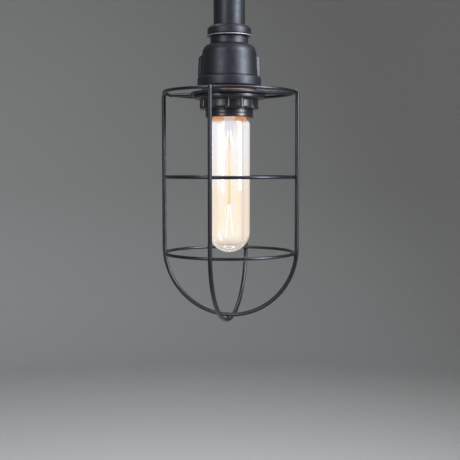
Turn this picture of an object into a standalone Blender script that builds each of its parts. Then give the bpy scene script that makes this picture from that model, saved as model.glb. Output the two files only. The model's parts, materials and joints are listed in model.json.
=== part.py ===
"""A single-lamp wall light made of pipe fittings, with a wire cage round a tubular bulb.

Metres, +Z up. The wall is the plane Y = 0 and the room lies towards -Y. The origin is the middle of the
crossbar's back face, on the axis of the arm pipe. The lamp hangs on a vertical axis in front of the wall.
"""

import math

import bmesh
import bpy
from mathutils import Vector

# Clearances
GAP = 0.0003            # between faces that touch on the real object
THREAD_PLAY = 0.0004    # between a turning piece and what it turns on

# Wall canopy and arm
CANOPY_RADIUS = 0.062
CANOPY_DEPTH = 0.024
CANOPY_WALL = 0.0015
CANOPY_CORNER = 0.006
CANOPY_HUB_RADIUS = 0.0185
CANOPY_HUB_LENGTH = 0.012
ARM_REACH = 0.140
CROSSBAR_LENGTH = 0.114
CROSSBAR_WIDTH = 0.020
CROSSBAR_THICKNESS = 0.002
CANOPY_SCREW_OFFSET = 0.052
BOX_SLOT_OFFSET = 0.0395
BOX_SLOT_LENGTH = 0.014
BOX_SLOT_WIDTH = 0.005
SCREW_RADIUS = 0.0020
SCREW_HEAD_RADIUS = 0.0042
SCREW_HEAD_HEIGHT = 0.0034
GROUND_HEAD_RADIUS = 0.0034
GROUND_HEAD_HEIGHT = 0.0022
ARM_NUT_FLATS = 0.034
ARM_NUT_HEIGHT = 0.004
ARM_TAIL = 0.004        # how far the arm passes through its nut
GROUND_SCREW_OFFSET = 0.018

# Pipe, elbow, lock ring
PIPE_RADIUS = 0.01215
PIPE_WALL = 0.00275
ELBOW_LEG = 0.032
ELBOW_BEND = 0.020
ELBOW_RADIUS = 0.0158
ELBOW_BAND_RADIUS = 0.0178
ELBOW_BAND_LENGTH = 0.009
DROP_LENGTH = 0.0820
COLLAR_RADIUS = 0.0169
COLLAR_HEIGHT = 0.0072
COLLAR_ROUND = 0.0023
COLLAR_SLOPE = 0.0030
WASHER_THICKNESS = 0.0006
WASHER_PROUD = 0.0008   # past the collar's edge

# Bell reducer
NECK_RADIUS = 0.01465
NECK_HEIGHT = 0.0056
BELL_TOP_RADIUS = 0.0209
BELL_BOTTOM_RADIUS = 0.0218
BELL_HEIGHT = 0.0251
BELL_SHOULDER = 0.0075
BELL_BORE_RADIUS = 0.0180
CEILING_THICKNESS = 0.0058
BAND_RADIUS = 0.0247
BAND_HEIGHT = 0.0076
RIB_THICKNESS = 0.0040
RIB_PROUD = 0.0026

# Lampholder
BARREL_RADIUS = 0.0186
BARREL_LENGTH = 0.0212
BARREL_WALL = 0.0027
SHOULDER_LEDGE = 0.0026     # the shoulder's radius past the barrel's
SHOULDER_HEIGHT = 0.0020
HOLDER_SKIN = 0.0017
HOLDER_CAP_RADIUS = 0.0174
HOLDER_CAP_WALL = 0.0030
HOLDER_SPLIT_RISE = 0.0030  # from the shoulder up to where cap and barrel meet
HOLDER_HEADROOM = 0.0102    # from the cap's ceiling down to the core
HOLDER_WASHER_THICKNESS = 0.0011
CORE_WALL = 0.0012
CORE_FLOOR = 0.0050
BLIND_DEPTH = 0.0030        # of the line terminal's screw in the core
CORE_LIP = 0.0030           # from the core's lower edge down to the bulb cap's
SHELL_LIP = 0.0006          # from the shell's lower edge down to the core's
SHELL_FLOOR_HOLE = 0.0085
SHELL_WALL = 0.0004
CONTACT_THICKNESS = 0.0005
NIPPLE_RADIUS = 0.0050
NIPPLE_BORE = 0.0035
NIPPLE_STICKOUT = 0.008
NIPPLE_NUT_FLATS = 0.0140
NIPPLE_NUT_HEIGHT = 0.0025
TERMINAL_OFFSET = 0.011
TERMINAL_HEAD_RADIUS = 0.0024
TERMINAL_HEAD_HEIGHT = 0.0022
TERMINAL_SHANK = 0.0015
PLATE_WIDTH = 0.0070
PLATE_LENGTH = 0.0076       # of the neutral plate
PLATE_MARGIN = 0.0026       # from a screw's axis to the plate's end
PLATE_THICKNESS = 0.0010
RIVET_OFFSET = 0.006
RIVET_HEAD_RADIUS = 0.0022
RIVET_HEAD_HEIGHT = 0.0008
CONTACT_WIDTH = 0.0048
CONTACT_DROP = 0.0032       # from the core's underside to the bulb's tip

# Shade ring
FLANGE_MARGIN = 0.0089      # the flange's radius past the barrel's
FLANGE_HEIGHT = 0.0030
GRIP_MARGIN = 0.0037        # the grip's radius past the barrel's
GRIP_HEIGHT = 0.0078
GRIP_RIB_COUNT = 12
GRIP_RIB_PROUD = 0.0006
GRIP_RIB_WIDTH = 0.0022
GRIP_TURN = math.radians(-4.0)

# Cage
HUB_MARGIN = 0.0107         # the hub's radius past the barrel's
HUB_THICKNESS = 0.0020
WIRE_DIAMETER = 0.0032
RING_WIRE_DIAMETER = 0.0025
CAGE_RADIUS = 0.0540
TOP_RING_RISE = 0.0007
MID_RING_DROP = 0.0652
LOW_RING_DROP = 0.1245
DOME_DROP = 0.1197
CAGE_TURN = math.radians(-15.0)

# Bulb
BULB_LENGTH = 0.1340
BULB_RADIUS = 0.0161
BULB_WALL = 0.0008
GLASS_NECK = 0.0055         # how far the glass reaches up inside the cap
BULB_SHOULDER_DROP = 0.0343
CAP_RADIUS = 0.0131
CAP_DROP = 0.0258
CAP_CROWN = 0.0104
CAP_SHOULDER_DROP = 0.0032
CAP_THREAD_DEPTH = 0.0004
CAP_RIDGES = 5
CAP_PITCH = 0.003629
CAP_SKIN = 0.0005
TIP_RADIUS = 0.0042
TIP_HEIGHT = 0.0013
STEM_RISE = 0.0040          # from the cap's lower edge up to the stem's flare
STEM_FLARE = 0.0075
STEM_TUBE = 0.0032
STEM_ROD = 0.0010
BEAD_RADIUS = 0.0017
PRESS_DROP = 0.0428
STEM_DROP = 0.0968
FILAMENT_RADIUS = 0.0075
FILAMENT_TOP_DROP = 0.0540
FILAMENT_BOTTOM_DROP = 0.1210
FILAMENT_STRANDS = 8
FILAMENT_WIRE = 0.0006
LEAD_IN_WIRE = 0.0008

# Leads
LEAD_DIAMETER = 0.0020
LEAD_SPACING = 0.0013
CONNECTOR_OFFSET = 0.024
CONNECTOR_DEPTH = 0.010     # its axis, out from the wall
CONNECTOR_LENGTH = 0.016
CONNECTOR_MOUTH = 0.0050
CONNECTOR_CROWN = 0.0036
CONNECTOR_BORE = 0.0030
CONNECTOR_BORE_DEPTH = 0.010

# Facets
ROUND_STEPS = 28
SMALL_STEPS = 16
WIRE_SIDES = 2          # bevel resolution of a wire: 8 sides
DOME_STEPS = 24
EDGE_BREAK = 0.0005
EDGE_ROUND = 0.0010
THROUGH = 0.001         # how far a cutter passes a face that it cuts

# Levels that follow, downwards from the arm's axis
PIPE_BORE = PIPE_RADIUS - PIPE_WALL
PIPE_HOLE = PIPE_RADIUS + GAP
COLLAR_TOP = -ELBOW_LEG - DROP_LENGTH
COLLAR_BOTTOM = COLLAR_TOP - COLLAR_HEIGHT
WASHER_TOP = COLLAR_BOTTOM - GAP
NECK_TOP = WASHER_TOP - WASHER_THICKNESS - GAP
NECK_BOTTOM = NECK_TOP - NECK_HEIGHT
CEILING_TOP = NECK_BOTTOM + GAP
CEILING_BOTTOM = CEILING_TOP - CEILING_THICKNESS
NUT_SEAT = CEILING_TOP + GAP
PIPE_END = NUT_SEAT + NIPPLE_NUT_HEIGHT + GAP
BAND_TOP = NECK_BOTTOM - BELL_HEIGHT
BAND_BOTTOM = BAND_TOP - BAND_HEIGHT
SHOULDER_RADIUS = BARREL_RADIUS + SHOULDER_LEDGE
FLANGE_RADIUS = BARREL_RADIUS + FLANGE_MARGIN
GRIP_RADIUS = BARREL_RADIUS + GRIP_MARGIN
HUB_RADIUS = BARREL_RADIUS + HUB_MARGIN
SHOULDER_TOP = BAND_BOTTOM - GAP
SHOULDER_BOTTOM = SHOULDER_TOP - SHOULDER_HEIGHT
HOLDER_WASHER_TOP = SHOULDER_BOTTOM - GAP
HUB_TOP = HOLDER_WASHER_TOP - HOLDER_WASHER_THICKNESS - GAP
HUB_BOTTOM = HUB_TOP - HUB_THICKNESS
SPOKE_LEVEL = (HUB_TOP + HUB_BOTTOM) / 2
TOP_RING_LEVEL = SPOKE_LEVEL + TOP_RING_RISE
MID_RING_LEVEL = TOP_RING_LEVEL - MID_RING_DROP
LOW_RING_LEVEL = TOP_RING_LEVEL - LOW_RING_DROP
DOME_LEVEL = TOP_RING_LEVEL - DOME_DROP
FLANGE_TOP = HUB_BOTTOM - GAP
FLANGE_BOTTOM = FLANGE_TOP - FLANGE_HEIGHT
GRIP_BOTTOM = FLANGE_BOTTOM - GRIP_HEIGHT
BARREL_BOTTOM = SHOULDER_BOTTOM - BARREL_LENGTH
HOLDER_BORE = BARREL_RADIUS - BARREL_WALL
CAP_BORE = HOLDER_CAP_RADIUS - HOLDER_SKIN
CORE_RADIUS = CAP_BORE - GAP
HOLDER_CAP_TOP = CEILING_BOTTOM - GAP
HOLDER_CAP_CEILING = HOLDER_CAP_TOP - HOLDER_CAP_WALL
CORE_TOP = HOLDER_CAP_CEILING - HOLDER_HEADROOM
CORE_UNDERSIDE = CORE_TOP - CORE_FLOOR
BULB_TOP = CORE_UNDERSIDE - CONTACT_DROP
BULB_BOTTOM = BULB_TOP - BULB_LENGTH
CAP_TOP = BULB_TOP - CAP_SHOULDER_DROP
CAP_BOTTOM = BULB_TOP - CAP_DROP
SHELL_BORE = CAP_RADIUS + GAP
PLATE_TOP = CORE_TOP + GAP + PLATE_THICKNESS
CONTACT_TOP = CORE_UNDERSIDE - GAP
NIPPLE_TOP = CEILING_TOP + NIPPLE_STICKOUT
NIPPLE_BOTTOM = HOLDER_CAP_CEILING - NIPPLE_NUT_HEIGHT - 2 * GAP
RING_OFFSET = (WIRE_DIAMETER + RING_WIRE_DIAMETER) / 2 + GAP
RING_RADIUS = CAGE_RADIUS - RING_OFFSET
LAMP = Vector((0, -ARM_REACH, 0))
WALL = Vector((0, 0, 0))
FACING_ROOM = (math.pi / 2, 0, 0)    # turns a shape's own +Z to the world's -Y


def new_collection(name):
    collection = bpy.data.collections.new(name)
    bpy.context.scene.collection.children.link(collection)
    return collection


def finish(name, colour, roughness, metallic):
    material = bpy.data.materials.new(name)
    material.use_nodes = True
    shader = material.node_tree.nodes["Principled BSDF"]
    shader.inputs["Base Color"].default_value = (*colour, 1)
    shader.inputs["Roughness"].default_value = roughness
    shader.inputs["Metallic"].default_value = metallic
    return material


def add(name, data, at, look, turn=(0, 0, 0), collection=None):
    thing = bpy.data.objects.new(name, data)
    thing.location = at
    thing.rotation_euler = turn
    (collection or parts).objects.link(thing)
    if look:
        data.materials.append(look)
    return thing


def helper(thing):
    """Makes an object a cutter or a piece to be joined on, which isn't a node itself."""
    thing.hide_render = True
    thing.display_type = "WIRE"
    return thing


def turned(name, outline, at, look, turn=(0, 0, 0), steps=ROUND_STEPS, on_axis=False, collection=None):
    """A turned piece. The outline holds (radius, height) pairs, down the outer side and up the bore.

    With on_axis the outline starts and ends on the axis, and isn't closed by an edge of its own.
    """
    mesh = bpy.data.meshes.new(name)
    edges = [(i, i + 1) for i in range(len(outline) - 1)]
    if not on_axis:
        edges.append((len(outline) - 1, 0))
    mesh.from_pydata([(radius, 0, height) for radius, height in outline], edges, [])
    thing = add(name, mesh, at, look, turn, collection)
    screw = thing.modifiers.new("Turn", "SCREW")
    screw.steps = screw.render_steps = steps
    screw.use_merge_vertices = True
    screw.merge_threshold = 0.00001
    return thing


def tube_outline(outer, inner, top, bottom):
    return [(outer, top), (outer, bottom), (inner, bottom), (inner, top)]


def rod(name, radius, top, bottom, at, turn=(0, 0, 0), steps=SMALL_STEPS, look=None):
    """A plain cylinder along its own Z, used as a cutter or to be joined on."""
    outline = [(0, top), (radius, top), (radius, bottom), (0, bottom)]
    return helper(turned(name, outline, at, look, turn, steps, on_axis=True, collection=cutters))


def curve_data(name, splines, flat):
    data = bpy.data.curves.new(name, "CURVE")
    data.dimensions = "2D" if flat else "3D"
    for points in splines:
        spline = data.splines.new("POLY")
        spline.points.add(len(points) - 1)
        for point, place in zip(spline.points, points):
            point.co = (*place, 0, 1) if flat else (*place, 1)
        spline.use_cyclic_u = flat
    return data


def as_mesh(thing):
    """Replaces a curve object with the same shape as a mesh, its caps welded on."""
    graph = bpy.context.evaluated_depsgraph_get()
    mesh = bpy.data.meshes.new_from_object(thing.evaluated_get(graph))
    solid = bmesh_welded(mesh)
    made = bpy.data.objects.new(thing.name, solid)
    made.matrix_world = thing.matrix_world.copy()
    for collection in thing.users_collection:
        collection.objects.link(made)
    name = thing.name
    bpy.data.objects.remove(thing)
    made.name = name
    return made


def bmesh_welded(mesh):
    shape = bmesh.new()
    shape.from_mesh(mesh)
    bmesh.ops.remove_doubles(shape, verts=shape.verts, dist=0.000001)
    bmesh.ops.recalc_face_normals(shape, faces=shape.faces)
    shape.to_mesh(mesh)
    shape.free()
    return mesh


def wire(name, points, diameter, at, look, sides=WIRE_SIDES, collection=None):
    data = curve_data(name, [points], flat=False)
    data.bevel_depth = diameter / 2
    data.bevel_resolution = sides
    data.use_fill_caps = True
    thing = add(name, data, at, look, collection=collection)
    bpy.context.view_layer.update()
    return as_mesh(thing)


def plate(name, outlines, thickness, at, look, turn=(0, 0, 0), collection=None):
    """A flat piece: the first outline is its edge and the others are its holes."""
    data = curve_data(name, outlines, flat=True)
    data.fill_mode = "BOTH"
    data.extrude = thickness / 2
    thing = add(name, data, at, look, turn, collection)
    bpy.context.view_layer.update()
    return as_mesh(thing)


def cut(thing, cutter, operation="DIFFERENCE"):
    boolean = thing.modifiers.new(f"{operation.title()} {cutter.name}", "BOOLEAN")
    boolean.operation = operation
    boolean.object = cutter
    boolean.solver = "EXACT"


def circle(radius, steps, centre=(0, 0), start=0.0):
    return [
        (
            centre[0] + radius * math.cos(start + 2 * math.pi * i / steps),
            centre[1] + radius * math.sin(start + 2 * math.pi * i / steps),
        )
        for i in range(steps)
    ]


def stadium(length, width, centre_x=0.0, steps=5):
    """A slot's outline: straight sides and round ends, length measured over the ends."""
    half, radius = length / 2 - width / 2, width / 2
    points = []
    for side, start in ((1, -math.pi / 2), (-1, math.pi / 2)):
        for i in range(steps + 1):
            angle = start + math.pi * i / steps
            points.append((centre_x + side * half + radius * math.cos(angle), radius * math.sin(angle)))
    return points


def arc(centre, radius, start, end, steps):
    """Points (radius, height) along an arc of an outline, angles in degrees from the outward direction."""
    angles = [math.radians(start + (end - start) * i / steps) for i in range(steps + 1)]
    return [(centre[0] + radius * math.cos(a), centre[1] + radius * math.sin(a)) for a in angles]


def smooth_route(points, spacing):
    """Points about one spacing apart on a smooth curve through the given ones."""
    route = [Vector(p) for p in points]
    ends = [2 * route[0] - route[1]] + route + [2 * route[-1] - route[-2]]
    made = []
    for before, start, end, after in zip(ends, ends[1:], ends[2:], ends[3:]):
        steps = max(1, round((end - start).length / spacing))
        for i in range(steps):
            t = i / steps
            made.append(
                0.5 * (
                    2 * start + (end - before) * t + (2 * before - 5 * start + 4 * end - after) * t**2
                    + (3 * start - before - 3 * end + after) * t**3
                )
            )
    return made + [route[-1]]


def round_the_axis(azimuth, radius, height):
    """A point on the lamp, its azimuth measured from the room's side (-Y) towards +X."""
    return Vector((radius * math.sin(azimuth), -radius * math.cos(azimuth), height))


def hex_nut(name, flats, bore, top, bottom, at, look, turn=(0, 0, 0)):
    corner = flats / 2 / math.cos(math.pi / 6)
    middle = Vector((0, 0, (top + bottom) / 2))
    if turn != (0, 0, 0):
        middle = Vector((0, -(top + bottom) / 2, 0))
    outlines = [circle(corner, 6), circle(bore, ROUND_STEPS)]
    return plate(name, outlines, top - bottom, Vector(at) + middle, look, turn)


def wall_canopy(look):
    face, rim, corner = CANOPY_DEPTH, CANOPY_RADIUS, CANOPY_CORNER
    end, fillet = face + CANOPY_HUB_LENGTH, 2 * EDGE_ROUND
    outline = [(CANOPY_HUB_RADIUS - EDGE_ROUND, end), (CANOPY_HUB_RADIUS, end - EDGE_ROUND)]
    outline += [(CANOPY_HUB_RADIUS, face + fillet), (CANOPY_HUB_RADIUS + fillet, face)]
    outline += arc((rim - corner, face - corner), corner, 90, 0, 4)
    outline += [(rim, 0), (rim - CANOPY_WALL, 0)]
    outline += arc((rim - corner, face - corner), corner - CANOPY_WALL, 0, 90, 3)
    outline += [(PIPE_HOLE, face - CANOPY_WALL), (PIPE_HOLE, end)]
    canopy = turned("wall_canopy", outline, WALL, look, FACING_ROOM, steps=32)
    for side, x in (("left", -CANOPY_SCREW_OFFSET), ("right", CANOPY_SCREW_OFFSET)):
        top, bottom = face + THROUGH, face - CANOPY_WALL - THROUGH
        hole = rod(f"canopy_hole_{side}", SCREW_RADIUS + GAP, top, bottom, (x, 0, 0), FACING_ROOM)
        cut(canopy, hole)


def canopy_screws(look):
    head_radius, head_height, under = SCREW_HEAD_RADIUS, SCREW_HEAD_HEIGHT, CANOPY_DEPTH + GAP
    for side, x in (("left", -CANOPY_SCREW_OFFSET), ("right", CANOPY_SCREW_OFFSET)):
        outline = [(0, under + head_height), (head_radius * 0.55, under + head_height * 0.9)]
        outline += [(head_radius * 0.88, under + head_height * 0.6), (head_radius, under)]
        outline += [(SCREW_RADIUS, under), (SCREW_RADIUS, 2 * GAP), (0, 2 * GAP)]
        turned(f"canopy_screw_{side}", outline, (x, 0, 0), look, FACING_ROOM, SMALL_STEPS, on_axis=True)


def crossbar(look):
    outlines = [stadium(CROSSBAR_LENGTH, CROSSBAR_WIDTH)]
    for side in (-1, 1):
        outlines.append(circle(SCREW_RADIUS + GAP, SMALL_STEPS, (side * CANOPY_SCREW_OFFSET, 0)))
        outlines.append(stadium(BOX_SLOT_LENGTH, BOX_SLOT_WIDTH, side * BOX_SLOT_OFFSET))
    outlines.append(circle(SCREW_RADIUS + GAP, SMALL_STEPS, (GROUND_SCREW_OFFSET, 0)))
    plate("crossbar", outlines, CROSSBAR_THICKNESS, (0, -CROSSBAR_THICKNESS / 2, 0), look, FACING_ROOM)


def ground_screw(look):
    under = CROSSBAR_THICKNESS + GAP
    top = under + GROUND_HEAD_HEIGHT
    outline = [(0, top), (GROUND_HEAD_RADIUS - EDGE_ROUND, top), (GROUND_HEAD_RADIUS, top - EDGE_ROUND)]
    outline.append((GROUND_HEAD_RADIUS, under))
    outline += [(SCREW_RADIUS, under), (SCREW_RADIUS, GAP), (0, GAP)]
    turned("ground_screw", outline, (GROUND_SCREW_OFFSET, 0, 0), look, FACING_ROOM, SMALL_STEPS, on_axis=True)


def arm(pipe_look, nut_look):
    nut_top = CANOPY_DEPTH - CANOPY_WALL - GAP
    nut_bottom = nut_top - ARM_NUT_HEIGHT
    hex_nut("arm_nut", ARM_NUT_FLATS, PIPE_HOLE, nut_top, nut_bottom, WALL, nut_look, FACING_ROOM)
    outline = tube_outline(PIPE_RADIUS, PIPE_BORE, ARM_REACH - ELBOW_BEND - GAP, nut_bottom - ARM_TAIL)
    turned("arm_pipe", outline, WALL, pipe_look, FACING_ROOM)


def elbow(look):
    def bend_route(leg):
        route = [Vector((0, leg, 0))]
        for i in range(7):
            angle = math.pi / 2 * i / 6
            route.append(Vector((0, ELBOW_BEND * (1 - math.sin(angle)), -ELBOW_BEND * (1 - math.cos(angle)))))
        return route + [Vector((0, 0, -leg))]

    body = wire("elbow", bend_route(ELBOW_LEG - GAP), 2 * ELBOW_RADIUS, LAMP, look, sides=6)
    for side, turn in (("wall", FACING_ROOM), ("lamp", (0, 0, 0))):
        top, bottom = ELBOW_BAND_LENGTH - ELBOW_LEG, -ELBOW_LEG
        cut(body, rod(f"elbow_band_{side}", ELBOW_BAND_RADIUS, top, bottom, LAMP, turn, ROUND_STEPS), "UNION")
    passage = wire("elbow_passage", bend_route(ELBOW_LEG + THROUGH), 2 * PIPE_BORE, LAMP, None, 4, cutters)
    cut(body, helper(passage))
    for side, turn in (("wall", FACING_ROOM), ("lamp", (0, 0, 0))):
        top, bottom = -ELBOW_BEND, -ELBOW_LEG - THROUGH
        cut(body, rod(f"elbow_seat_{side}", PIPE_HOLE, top, bottom, LAMP, turn, ROUND_STEPS))


def drop(pipe_look, collar_look, washer_look):
    top = -ELBOW_BEND - GAP
    turned("drop_pipe", tube_outline(PIPE_RADIUS, PIPE_BORE, top, PIPE_END), LAMP, pipe_look)
    shoulder, rim = COLLAR_RADIUS - COLLAR_SLOPE, COLLAR_TOP - COLLAR_ROUND
    outline = [(shoulder - EDGE_BREAK, COLLAR_TOP), (shoulder + EDGE_ROUND, COLLAR_TOP - EDGE_BREAK)]
    outline += [(COLLAR_RADIUS - EDGE_BREAK, rim), (COLLAR_RADIUS, rim - EDGE_ROUND)]
    outline += [(COLLAR_RADIUS, COLLAR_BOTTOM + EDGE_BREAK), (COLLAR_RADIUS - EDGE_BREAK, COLLAR_BOTTOM)]
    outline += [(PIPE_HOLE, COLLAR_BOTTOM), (PIPE_HOLE, COLLAR_TOP)]
    turned("lock_ring", outline, LAMP, collar_look)
    outline = tube_outline(COLLAR_RADIUS + WASHER_PROUD, PIPE_HOLE, WASHER_TOP, WASHER_TOP - WASHER_THICKNESS)
    turned("lock_washer", outline, LAMP, washer_look)


def reducer(look):
    edge = EDGE_BREAK
    outline = [(NECK_RADIUS - edge, NECK_TOP), (NECK_RADIUS, NECK_TOP - edge), (NECK_RADIUS, NECK_BOTTOM)]
    rise = BELL_TOP_RADIUS - NECK_RADIUS
    for i in range(1, 7):
        angle = math.pi / 2 * i / 6
        level = NECK_BOTTOM - BELL_SHOULDER * (1 - math.cos(angle))
        outline.append((NECK_RADIUS + rise * math.sin(angle), level))
    outline += [(BELL_BOTTOM_RADIUS, BAND_TOP), (BAND_RADIUS - edge, BAND_TOP)]
    outline += [(BAND_RADIUS, BAND_TOP - edge), (BAND_RADIUS, BAND_BOTTOM + EDGE_ROUND)]
    outline.append((BAND_RADIUS - EDGE_ROUND, BAND_BOTTOM))
    outline += [(BELL_BORE_RADIUS, BAND_BOTTOM), (BELL_BORE_RADIUS, CEILING_BOTTOM)]
    outline += [(NIPPLE_RADIUS + GAP, CEILING_BOTTOM), (NIPPLE_RADIUS + GAP, CEILING_TOP)]
    outline += [(PIPE_HOLE, CEILING_TOP), (PIPE_HOLE, NECK_TOP)]
    body = turned("reducer", outline, LAMP, look)
    top, bottom = NECK_BOTTOM - BELL_SHOULDER - EDGE_ROUND, BAND_TOP - THROUGH
    inside = BELL_BORE_RADIUS + THROUGH
    for side, direction in (("left", -1), ("right", 1)):
        edge = [(inside, top), (BELL_TOP_RADIUS + EDGE_BREAK, top)]
        edge += [(BELL_TOP_RADIUS + RIB_PROUD, top - EDGE_ROUND), (BELL_BOTTOM_RADIUS + RIB_PROUD, bottom)]
        edge.append((inside, bottom))
        edge = [(direction * x, y) for x, y in edge]
        rib = plate(f"reducer_rib_{side}", [edge], RIB_THICKNESS, LAMP, None, FACING_ROOM, cutters)
        cut(body, helper(rib), "UNION")


def nipple(nipple_look, nut_look):
    outline = tube_outline(NIPPLE_RADIUS, NIPPLE_BORE, NIPPLE_TOP, NIPPLE_BOTTOM)
    turned("hanger_nipple", outline, LAMP, nipple_look, steps=SMALL_STEPS)
    for name, bottom in (("upper", NUT_SEAT), ("lower", HOLDER_CAP_CEILING - GAP - NIPPLE_NUT_HEIGHT)):
        top = bottom + NIPPLE_NUT_HEIGHT
        hex_nut(f"nipple_nut_{name}", NIPPLE_NUT_FLATS, NIPPLE_RADIUS + GAP, top, bottom, LAMP, nut_look)


def lampholder(shell_look, washer_look):
    split, edge = SHOULDER_TOP + HOLDER_SPLIT_RISE, EDGE_ROUND
    outline = [(HOLDER_CAP_RADIUS - edge, HOLDER_CAP_TOP), (HOLDER_CAP_RADIUS, HOLDER_CAP_TOP - edge)]
    outline += [(HOLDER_CAP_RADIUS, split + GAP), (CAP_BORE, split + GAP), (CAP_BORE, HOLDER_CAP_CEILING)]
    outline += [(NIPPLE_RADIUS + GAP, HOLDER_CAP_CEILING), (NIPPLE_RADIUS + GAP, HOLDER_CAP_TOP)]
    turned("holder_cap", outline, LAMP, shell_look)
    outline = [(HOLDER_CAP_RADIUS, split), (HOLDER_CAP_RADIUS, SHOULDER_TOP)]
    outline += [(SHOULDER_RADIUS, SHOULDER_TOP), (SHOULDER_RADIUS, SHOULDER_BOTTOM)]
    outline += [(BARREL_RADIUS, SHOULDER_BOTTOM), (BARREL_RADIUS, BARREL_BOTTOM + EDGE_BREAK)]
    outline.append((BARREL_RADIUS - EDGE_BREAK, BARREL_BOTTOM))
    outline += [(HOLDER_BORE, BARREL_BOTTOM), (HOLDER_BORE, SHOULDER_BOTTOM), (CAP_BORE, SHOULDER_TOP)]
    outline.append((CAP_BORE, split))
    turned("holder_barrel", outline, LAMP, shell_look)
    bottom = HOLDER_WASHER_TOP - HOLDER_WASHER_THICKNESS
    outline = tube_outline(SHOULDER_RADIUS, BARREL_RADIUS + GAP, HOLDER_WASHER_TOP, bottom)
    turned("holder_washer", outline, LAMP, washer_look)


def holder_core(look):
    bottom = CAP_BOTTOM + CORE_LIP
    bore = SHELL_BORE + SHELL_WALL + GAP
    outline = [(0, CORE_TOP), (CORE_RADIUS, CORE_TOP), (CORE_RADIUS, bottom), (bore, bottom)]
    outline += [(bore, CORE_UNDERSIDE), (0, CORE_UNDERSIDE)]
    core = turned("holder_core", outline, LAMP, look, on_axis=True)
    through = CORE_UNDERSIDE - THROUGH
    blind = CORE_TOP - BLIND_DEPTH - EDGE_BREAK
    holes = (
        ("rivet", -RIVET_OFFSET, through), ("neutral", TERMINAL_OFFSET, through),
        ("line", -TERMINAL_OFFSET, blind),
    )
    for name, x, end in holes:
        place = LAMP + Vector((x, 0, 0))
        cut(core, rod(f"core_hole_{name}", TERMINAL_SHANK + GAP, CORE_TOP + THROUGH, end, place))


def screw_shell(look):
    """The shell that the bulb screws into, with a floor that the neutral terminal's screw goes through."""
    top, bottom = CORE_UNDERSIDE - GAP, CAP_BOTTOM + CORE_LIP + SHELL_LIP
    outer, floor_hole = SHELL_BORE + SHELL_WALL, SHELL_FLOOR_HOLE
    outline = [(floor_hole, top), (outer, top), (outer, bottom), (SHELL_BORE, bottom)]
    outline += [(SHELL_BORE, top - SHELL_WALL), (floor_hole, top - SHELL_WALL)]
    shell = turned("screw_shell", outline, LAMP, look)
    place, under = LAMP + Vector((TERMINAL_OFFSET, 0, 0)), top - SHELL_WALL - THROUGH
    cut(shell, rod("shell_hole", TERMINAL_SHANK + GAP, top + THROUGH, under, place, steps=8))


def centre_contact(look):
    """A tongue riveted to the core, bent down over the bulb's tip, with a hole for its rivet."""
    top, thick = CONTACT_TOP, CONTACT_THICKNESS
    low = BULB_TOP + GAP + thick
    bend = RIVET_HEAD_RADIUS + GAP - RIVET_OFFSET
    upper = [(-0.0077, top), (bend, top), (bend + CONTACT_WIDTH / 2, low), (0.0030, low)]
    lower = [(x, z - thick) for x, z in reversed(upper)]
    tongue = plate("centre_contact", [upper + lower], CONTACT_WIDTH, LAMP, look, FACING_ROOM)
    place, under = LAMP - Vector((RIVET_OFFSET, 0, 0)), top - thick - THROUGH
    cut(tongue, rod("contact_hole", TERMINAL_SHANK + GAP, top + THROUGH, under, place, steps=8))


def contact_rivet(look):
    top = PLATE_TOP + GAP
    bottom = CONTACT_TOP - CONTACT_THICKNESS - GAP
    shank, head, height = TERMINAL_SHANK, RIVET_HEAD_RADIUS, RIVET_HEAD_HEIGHT
    outline = [(0, top + height), (head, top + height), (head, top), (shank, top)]
    outline += [(shank, bottom), (head, bottom), (head, bottom - height), (0, bottom - height)]
    turned("contact_rivet", outline, LAMP - Vector((RIVET_OFFSET, 0, 0)), look, steps=12, on_axis=True)


def terminals(plate_look, screw_look):
    hole = TERMINAL_SHANK + GAP
    middle = LAMP + Vector((0, 0, CORE_TOP + GAP + PLATE_THICKNESS / 2))
    half, outer = PLATE_WIDTH / 2, TERMINAL_OFFSET + PLATE_MARGIN
    for name, left, right, holes in (
        ("line", -outer, PLATE_MARGIN - RIVET_OFFSET, (-TERMINAL_OFFSET, -RIVET_OFFSET)),
        ("neutral", outer - PLATE_LENGTH, outer, (TERMINAL_OFFSET,)),
    ):
        edge = [(left, -half), (right, -half), (right, half), (left, half)]
        outlines = [edge] + [circle(hole, 12, (x, 0)) for x in holes]
        plate(f"terminal_plate_{name}", outlines, PLATE_THICKNESS, middle, plate_look)
    head = PLATE_TOP + GAP
    for name, x, bottom in (
        ("line", -TERMINAL_OFFSET, CORE_TOP - BLIND_DEPTH),
        ("neutral", TERMINAL_OFFSET, CORE_UNDERSIDE - GAP - SHELL_WALL - EDGE_BREAK),
    ):
        top = head + TERMINAL_HEAD_HEIGHT
        outline = [(0, top), (TERMINAL_HEAD_RADIUS, top), (TERMINAL_HEAD_RADIUS, head)]
        outline += [(TERMINAL_SHANK, head), (TERMINAL_SHANK, bottom), (0, bottom)]
        place = LAMP + Vector((x, 0, 0))
        turned(f"terminal_screw_{name}", outline, place, screw_look, steps=12, on_axis=True)


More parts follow.
